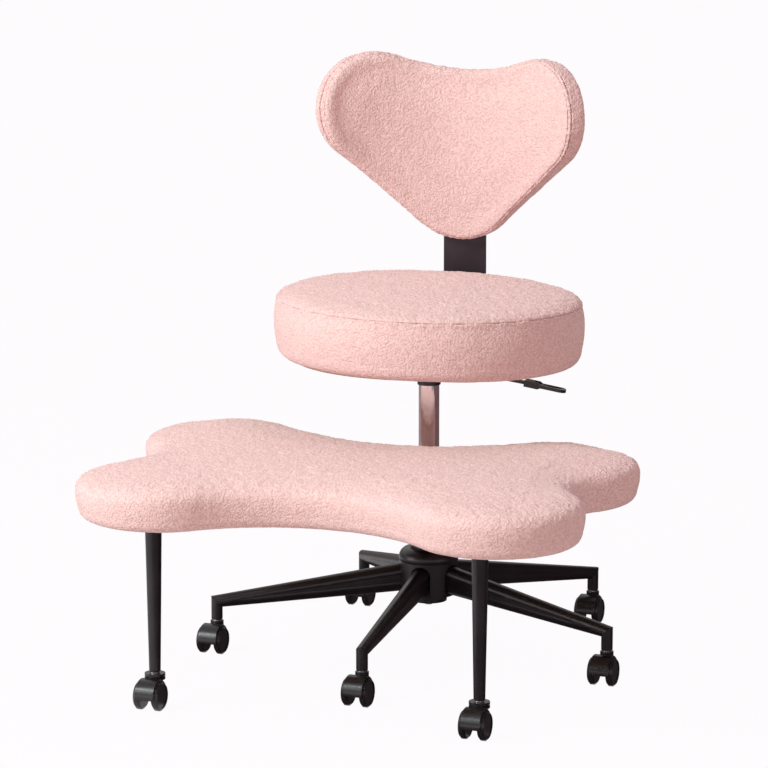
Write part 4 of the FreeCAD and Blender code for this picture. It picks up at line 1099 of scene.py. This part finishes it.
@dataclass
class HeartPad:
    """Heart-shaped backrest cushion bent to the sitter's back, with a bead where face and side meet."""

    front: float = 181 * MM
    curve: float = 220 * MM
    thick: float = 32 * MM
    tip: tuple[float, float, float] = (0.0, 616.5 * MM, 74.5 * MM)
    lobe: tuple[float, float, float] = (114.8 * MM, 725.5 * MM, 79 * MM)
    notch: float = 219 * MM
    flank: float = 860 * MM
    board_inset: float = 30 * MM
    board: float = 6 * MM
    gap: float = 1.0 * MM
    bar_half: float = 31 * MM
    bar_face: float = 212 * MM
    bar_top: float = 714.5 * MM
    bar_margin: float = 1 * MM
    bar_clear: float = 0.6 * MM
    seam: float = 8.4 * MM
    bead: float = 4.6 * MM
    wander: float = 10 * MM
    wander_width: float = 75 * MM
    puff_start: float = 20 * MM
    puff_width: float = 40 * MM
    puff: float = 2.2 * MM
    sink: float = 3.2 * MM
    pinch: float = 2.4 * MM
    lean: float = math.radians(1.4)
    notch_lift: float = 3.2 * MM
    notch_side: float = -30 * MM
    notch_width: float = 62 * MM
    notch_from: float = 0.6
    flank_drop: float = 1.8 * MM
    flank_pull: float = 2.6 * MM
    flank_share: float = 0.22
    flank_spread: float = 0.2
    flank_width: float = 40 * MM
    right_lift: float = 2.2 * MM
    right_start: float = 85 * MM
    right_width: float = 60 * MM
    pull_from: float = 0.05
    pull_spread: float = 0.3
    pull_high: float = 1.8 * MM
    pull_low: float = 0.9 * MM
    pull_share: float = 0.01
    spacing: float = 1.6 * MM

    def outline(self) -> LobedOutline:
        """Outline of the heart laid flat."""
        twin = (-self.lobe[0], self.lobe[1], self.lobe[2])
        return LobedOutline((self.tip, self.lobe, twin), (self.flank, self.notch, self.flank))

    def place(self, plan: Points, level: np.ndarray) -> Points:
        """Points of the flat heart bent round the sitter, with the seam further back on the left lobe.

        Args:
            plan: Points of the heart laid flat.
            level: Their distances behind the face.

        Returns:
            Points in place.
        """
        angle = plan[:, 0] / self.curve
        shift = self.wander * smooth_step(-plan[:, 0] / self.wander_width)
        squeezed = self.seam + shift + (level - self.seam) * (1 - shift / (self.thick - self.seam))
        r = self.curve + np.where(level < self.seam, level * (1 + shift / self.seam), squeezed)
        axis = self.front - self.curve
        x, y = r * np.sin(angle), axis + r * np.cos(angle)
        on_bar = (np.abs(x) < self.bar_half) & (plan[:, 1] < self.bar_top + self.bar_margin)
        y = np.where(on_bar, np.minimum(y, self.bar_face - self.bar_clear), y)
        return turned(np.column_stack([x, y, plan[:, 1]]), SEAT_TURN)

    def crown(self, inset: np.ndarray) -> np.ndarray:
        """Puff of the face towards the sitter."""
        return -self.puff * smooth_step((inset - self.puff_start) / self.puff_width)

    def cushion(self) -> Cushion:
        """Cushion form of the backrest.

        Returns:
            The cushion, ready to build.
        """
        pocket = self.board_inset - self.gap
        back = self.thick
        roof = back - self.board - self.gap
        seam = self.seam
        inner = seam - self.bead
        profile = chained(
            (pocket, roof),
            (Zone.POCKET, (pocket, back)),
            (Zone.UNDER, (9 * MM, back)),
            (Zone.FREE, (1.0 * MM, back - 0.5 * MM), (0.4 * MM, back - 7 * MM)),
            (Zone.FREE, (-0.6 * MM, 20 * MM), (0.4 * MM, seam + 2 * MM)),
            (Zone.SEAM, (0.5 * MM, seam + 0.9 * MM)),
            (Zone.SEAM, (3.2 * MM, seam)),
            (Zone.SEAM, (-2.6 * MM, (seam + inner) / 2), (3.6 * MM, inner)),
            (Zone.SEAM, (2.6 * MM, inner - 0.5 * MM), (2.9 * MM, inner - 1.0 * MM)),
            (Zone.FREE, (7.0 * MM, 0.2 * MM), (self.puff_start, 1.2 * MM)),
        )
        return Cushion("heart_pad", self.outline(), profile, self.place, self.crown, self.settle,
                       self.spacing, Body.SEAT, ("backrest_cushion",), loose_rim=False, pressure=0.5,
                       cap=1.2 * MM, ironing=30)

    def settle(self, points: Points) -> Points:
        """Sag of the lobes, deeper on the right, with the tip drawn up and the whole pulled to the left.

        Args:
            points: Points of the cushion.

        Returns:
            Move of each point.
        """
        low, high = self.tip[1] - self.tip[2], self.lobe[1] + self.lobe[2]
        share = (points[:, 2] - low) / (high - low)
        middle = float(across(turned(np.array([[0.0, self.front, 0.0]]), SEAT_TURN))[0])
        side = across(points) - middle
        drop = self.pinch * (1 - share) - self.sink * share - math.tan(self.lean) * side
        notch = np.exp(-((side - self.notch_side) / self.notch_width) ** 2)
        drop += self.notch_lift * notch * smooth_step((share - self.notch_from) / (1 - self.notch_from))
        left_flank = np.exp(-((share - self.flank_share) / self.flank_spread) ** 2)
        left_flank *= smooth_step(-side / self.flank_width)
        drop -= self.flank_drop * left_flank
        drop += self.right_lift * smooth_step((side - self.right_start) / self.right_width)
        upper = smooth_step((share - self.pull_from) / self.pull_spread)
        pull = -(self.pull_high + self.pull_share * side) * upper - self.pull_low * (1 - upper)
        pull -= self.flank_pull * left_flank
        return np.outer(drop, (0.0, 0.0, 1.0)) + np.outer(pull, ACROSS)


@dataclass
class LegRestPad:
    """Bow-shaped leg-rest cushion with soft edges."""

    bottom: float = 250.5 * MM
    height: float = 64.5 * MM
    edge: float = 42 * MM
    front: tuple[float, float, float] = (222.6 * MM, -375.3 * MM, 114.6 * MM)
    back: tuple[float, float, float] = (228.4 * MM, -118.4 * MM, 110.7 * MM)
    blends: tuple[float, float, float] = (206.6 * MM, 86.4 * MM, 231.5 * MM)
    shift: float = -14.4 * MM
    stray: float = -5.5 * MM
    lean: float = math.radians(0.35)
    nod: float = math.radians(0.5)
    board_inset: float = 32 * MM
    board_top: float = 262.2 * MM
    gap: float = 1.0 * MM
    under_roll: float = 17 * MM
    top_roll: float = 20 * MM
    crown_room: float = 3 * MM
    puff: float = 2.4 * MM
    puff_width: float = 60 * MM
    face_rim: float = 14 * MM
    level_side: float = -100 * MM
    level_front: float = -250 * MM
    front_reach: float = 130 * MM
    back_reach: float = 110 * MM
    front_left_drop: float = 4.0 * MM
    back_left_lift: float = 1.6 * MM
    back_right_drop: float = 1.2 * MM
    back_right_rim: float = 3.4 * MM
    spacing: float = 2.25 * MM

    def outline(self) -> LobedOutline:
        """Outline of the pad from above.

        Returns:
            Its four lobes and the hollows between them.
        """
        fx, fy, fr = self.front
        bx, by, br = self.back
        waist, side, hollow = self.blends
        mid = self.shift
        stray = mid - bx + self.stray
        lobes = ((mid - fx, fy, fr), (mid + fx, fy, fr), (mid + bx, by, br), (stray, by, br))
        return LobedOutline(lobes, (waist, side, hollow, side))

    def crown(self, inset: np.ndarray) -> np.ndarray:
        """Rise of the top towards the middle."""
        return self.puff * smooth_step((inset - self.edge - self.face_rim) / self.puff_width)

    def place(self, plan: Points, level: np.ndarray) -> Points:
        """Points set at their levels and turned with the leg rest."""
        return turned(np.column_stack([plan, level]), LEG_REST_TURN)

    def cushion(self) -> Cushion:
        """Cushion form of the leg rest.

        Returns:
            The cushion, ready to build.
        """
        pocket = self.board_inset - self.gap
        roof = self.board_top + self.gap
        top = self.bottom + self.height - self.crown_room
        low = self.bottom + self.under_roll
        bend = top - self.top_roll
        profile = chained(
            (pocket, roof),
            (Zone.POCKET, (pocket, self.bottom)),
            (Zone.UNDER, (18 * MM, self.bottom)),
            (Zone.UNDER, (5.0 * MM, self.bottom + 1.5 * MM), (3.4 * MM, low)),
            (Zone.FREE, (-0.6 * MM, (low + bend) / 2), (0.5 * MM, bend)),
            (Zone.FREE, (1.6 * MM, bend + 6.5 * MM), (8 * MM, bend + 11 * MM)),
            (Zone.FREE, (20 * MM, top - 2 * MM), (self.edge, top)),
            (Zone.FREE, (self.edge + self.face_rim, top + 1 * MM)),
        )
        return Cushion("leg_rest_pad", self.outline(), profile, self.place, self.crown, self.settle,
                       self.spacing, Body.FOOTREST, ("footrest_cushion",))

    def settle(self, points: Points) -> Points:
        """Sag of the foam, a little deeper on the right and in front, and different on each lobe.

        Args:
            points: Points of the cushion.

        Returns:
            Move of each point.
        """
        drop = -math.tan(self.lean) * (across(points) - self.level_side)
        drop += math.tan(self.nod) * (points[:, 1] - self.level_front)
        high = np.clip((points[:, 2] - self.bottom) / self.height, 0.0, 1.0)
        front_left = near(points, (self.shift - self.front[0], self.front[1]), self.front_reach)
        back_left = near(points, (self.shift - self.back[0], self.back[1]), self.back_reach)
        back_right = near(points, (self.shift + self.back[0], self.back[1]), self.front_reach)
        drop += high * (self.back_left_lift * back_left - self.front_left_drop * front_left)
        drop += ((1 - high) * self.back_right_rim - high * self.back_right_drop) * back_right
        return np.outer(drop, (0.0, 0.0, 1.0))


@dataclass
class Studio:
    """Camera, pale floor, soft light, and glowing cards that paint reflections and highlights."""

    distance: float = 5.0
    height: float = 1.2859
    azimuth: float = math.radians(20.5)
    yaw: float = math.radians(0.70)
    pitch: float = math.radians(10.36)
    lens: float = 175.72
    target: tuple[float, float, float] = (0.0, -0.1, 0.42)
    ambient: Colour = (0.63, 0.395, 0.38)
    overhead: Colour = (0.66, 0.62, 0.635)
    key: float = 143.0
    key_colour: Colour = (0.93, 1.0, 1.0)
    key_azimuth: float = math.radians(-34.5)
    key_rise: float = math.radians(33.0)
    key_distance: float = 4.0
    key_size: float = 1.3
    floor_half: float = 40.0
    floor_colour: Colour = (0.70, 0.62, 0.61)
    white: Colour = (1.0, 0.985, 1.0)
    whiteness: float = 0.97
    # Dim and dark cards seen only in reflections: painted dark reflections on the metal and plastic.
    dim_reflection_left: Colour = (0.35, 0.28, 0.28)
    dark_reflection_right: Colour = (0.15, 0.085, 0.093)
    dark_reflection_front: Colour = (0.10, 0.075, 0.085)
    # Bright cards that glow though they are no lamps: painted highlights on the legs, arms, hub and
    # casters.
    strip_highlight_glow: Colour = (3.0, 2.6, 2.8)
    panel_highlight_glow: Colour = (5.5, 4.9, 5.3)

    def camera(self) -> None:
        """Camera at the photograph's place."""
        data = bpy.data.cameras.new("camera")
        data.lens = self.lens
        data.sensor_width = 36.0
        data.clip_end = 200.0
        obj = bpy.data.objects.new("camera", data)
        bpy.context.scene.collection.objects.link(obj)
        heading = self.azimuth + self.yaw
        level = math.cos(self.pitch)
        ahead = Vector((-math.sin(heading) * level, math.cos(heading) * level, -math.sin(self.pitch)))
        right = Vector((math.cos(heading), math.sin(heading), 0.0))
        up = right.cross(ahead)
        turn = Matrix((right, up, -ahead)).transposed().to_4x4()
        spot = Vector((math.sin(self.azimuth), -math.cos(self.azimuth), 0.0)) * self.distance
        spot.z = self.height
        obj.matrix_world = Matrix.Translation(spot) @ turn
        bpy.context.scene.camera = obj

    def floor(self) -> None:
        """Pale floor that looks white to the camera and still takes a shadow."""
        half = self.floor_half
        corners = np.array([(-half, -half, 0), (half, -half, 0), (half, half, 0), (-half, half, 0)])
        obj = new_mesh("floor", corners, [(0, 1, 2, 3)])
        paint = Painter("pale_floor")
        paint.dress(Base_Color=(*self.floor_colour, 1.0), Roughness=0.9, Specular_IOR_Level=0.0)
        share = paint.math("MULTIPLY", paint.seen(), self.whiteness)
        paint.show(paint.shader.outputs[0], paint.glow(self.white), share)
        obj.data.materials.append(paint.material)

    def world(self) -> None:
        """Soft light all round, paler from above, warm between the cushions, white where it is seen."""
        world = bpy.data.worlds.new("studio")
        world.use_nodes = True
        nodes = Nodes(world.node_tree, "World Output")
        place = nodes.add("TexCoord").outputs["Generated"]
        height = nodes.add("SeparateXYZ", Vector=place).outputs["Z"]
        colour = nodes.ramp(height, ((0.0, self.ambient), (1.0, self.overhead)))
        soft = nodes.tree.nodes["Background"]
        nodes.put(soft, "Color", colour)
        nodes.put(soft, "Strength", 1.0)
        plain = nodes.add("Background", Color=(*self.white, 1.0), Strength=1.0)
        nodes.show(soft.outputs[0], plain.outputs[0], nodes.seen())
        bpy.context.scene.world = world

    def flag(self, name: str, colour: Colour, rows: Rows, start: float, end: float) -> None:
        """Curved card round the chair that only shiny surfaces see; it glows though it is no lamp, so it
        paints a reflection, dark or bright.

        Args:
            name: Name of the card.
            colour: Its colour.
            rows: Distance from the column and height of each row of its points.
            start: Angle of its first edge in degrees, from the camera's side of the column to the right.
            end: Angle of its last edge in degrees.
        """
        angles = self.azimuth + np.linspace(math.radians(start), math.radians(end), 25)
        around = np.column_stack([np.sin(angles), -np.cos(angles)])
        points = [np.column_stack([around * r, np.full(len(around), z)]) for r, z in rows]
        faces = []
        for first in range(0, (len(rows) - 1) * len(around), len(around)):
            after = first + len(around)
            faces += [(first + i, first + i + 1, after + i + 1, after + i) for i in range(len(around) - 1)]
        obj = new_mesh(name, np.concatenate(points), faces)
        paint = Painter(name)
        paint.put(paint.output, "Surface", paint.glow(colour))
        obj.data.materials.append(paint.material)
        obj.visible_camera = False
        obj.visible_diffuse = False
        obj.visible_transmission = False
        obj.visible_shadow = False

    def lamp(self) -> None:
        """Square soft lamp in front of the chair on its left."""
        data = bpy.data.lights.new("key_lamp", "AREA")
        data.energy = self.key
        data.color = self.key_colour
        data.size = self.key_size
        obj = bpy.data.objects.new("key_lamp", data)
        bpy.context.scene.collection.objects.link(obj)
        out = self.key_distance * math.cos(self.key_rise)
        rise = self.key_distance * math.sin(self.key_rise)
        offset = Vector((out * math.sin(self.key_azimuth), -out * math.cos(self.key_azimuth), rise))
        turn = (-offset).to_track_quat("-Z", "Y").to_matrix().to_4x4()
        obj.matrix_world = Matrix.Translation(Vector(self.target) + offset) @ turn

    def build(self) -> None:
        """Set up the whole studio."""
        bpy.context.scene.view_settings.view_transform = "Standard"
        self.camera()
        self.floor()
        self.world()
        low_wall: Rows = ((1.25, 0.005), (1.25, 0.42))
        small_disc: Rows = ((0.02, 0.003), (0.45, 0.003))
        ground: Rows = ((0.45, 0.003), (3.2, 0.003))
        strip: Rows = ((3.2, 0.003), (3.2, 0.5))
        room: Rows = ((3.2, 0.5), (3.2, 3.2), (1.6, 5.2), (0.5, 5.6))
        panel: Rows = ((3.2, 0.003), (3.2, 1.3))
        # Cards seen only in shiny surfaces: the left, right, disc, ground and front ones paint dim and
        # dark reflections.
        self.flag("left_flag", self.dim_reflection_left, low_wall, -180.0, -95.0)
        self.flag("right_flag", self.dark_reflection_right, low_wall, 70.0, 180.0)
        self.flag("disc_flag", self.dark_reflection_front, small_disc, -180.0, 180.0)
        self.flag("ground_flag", self.dark_reflection_front, ground, -30.0, 150.0)
        # The strip and the panel glow brightly though they are no lamps: painted highlights on the legs,
        # arms, hub and casters.
        self.flag("strip_highlight_card", self.strip_highlight_glow, strip, -50.0, 60.0)
        self.flag("front_flag", self.dark_reflection_front, room, -56.0, 150.0)
        self.flag("panel_highlight_card", self.panel_highlight_glow, panel, -84.0, -57.0)
        self.lamp()
        LOG.info("studio ready")


def main() -> None:
    """Build the studio and every piece in order."""
    logging.basicConfig(level=logging.INFO)
    wardrobe = Wardrobe()
    Studio().build()
    wardrobe.dress_frame()
    for pad in (SeatPad(), HeartPad(), LegRestPad()):
        pad.cushion().build(wardrobe)


if __name__ == "__main__":
    main()
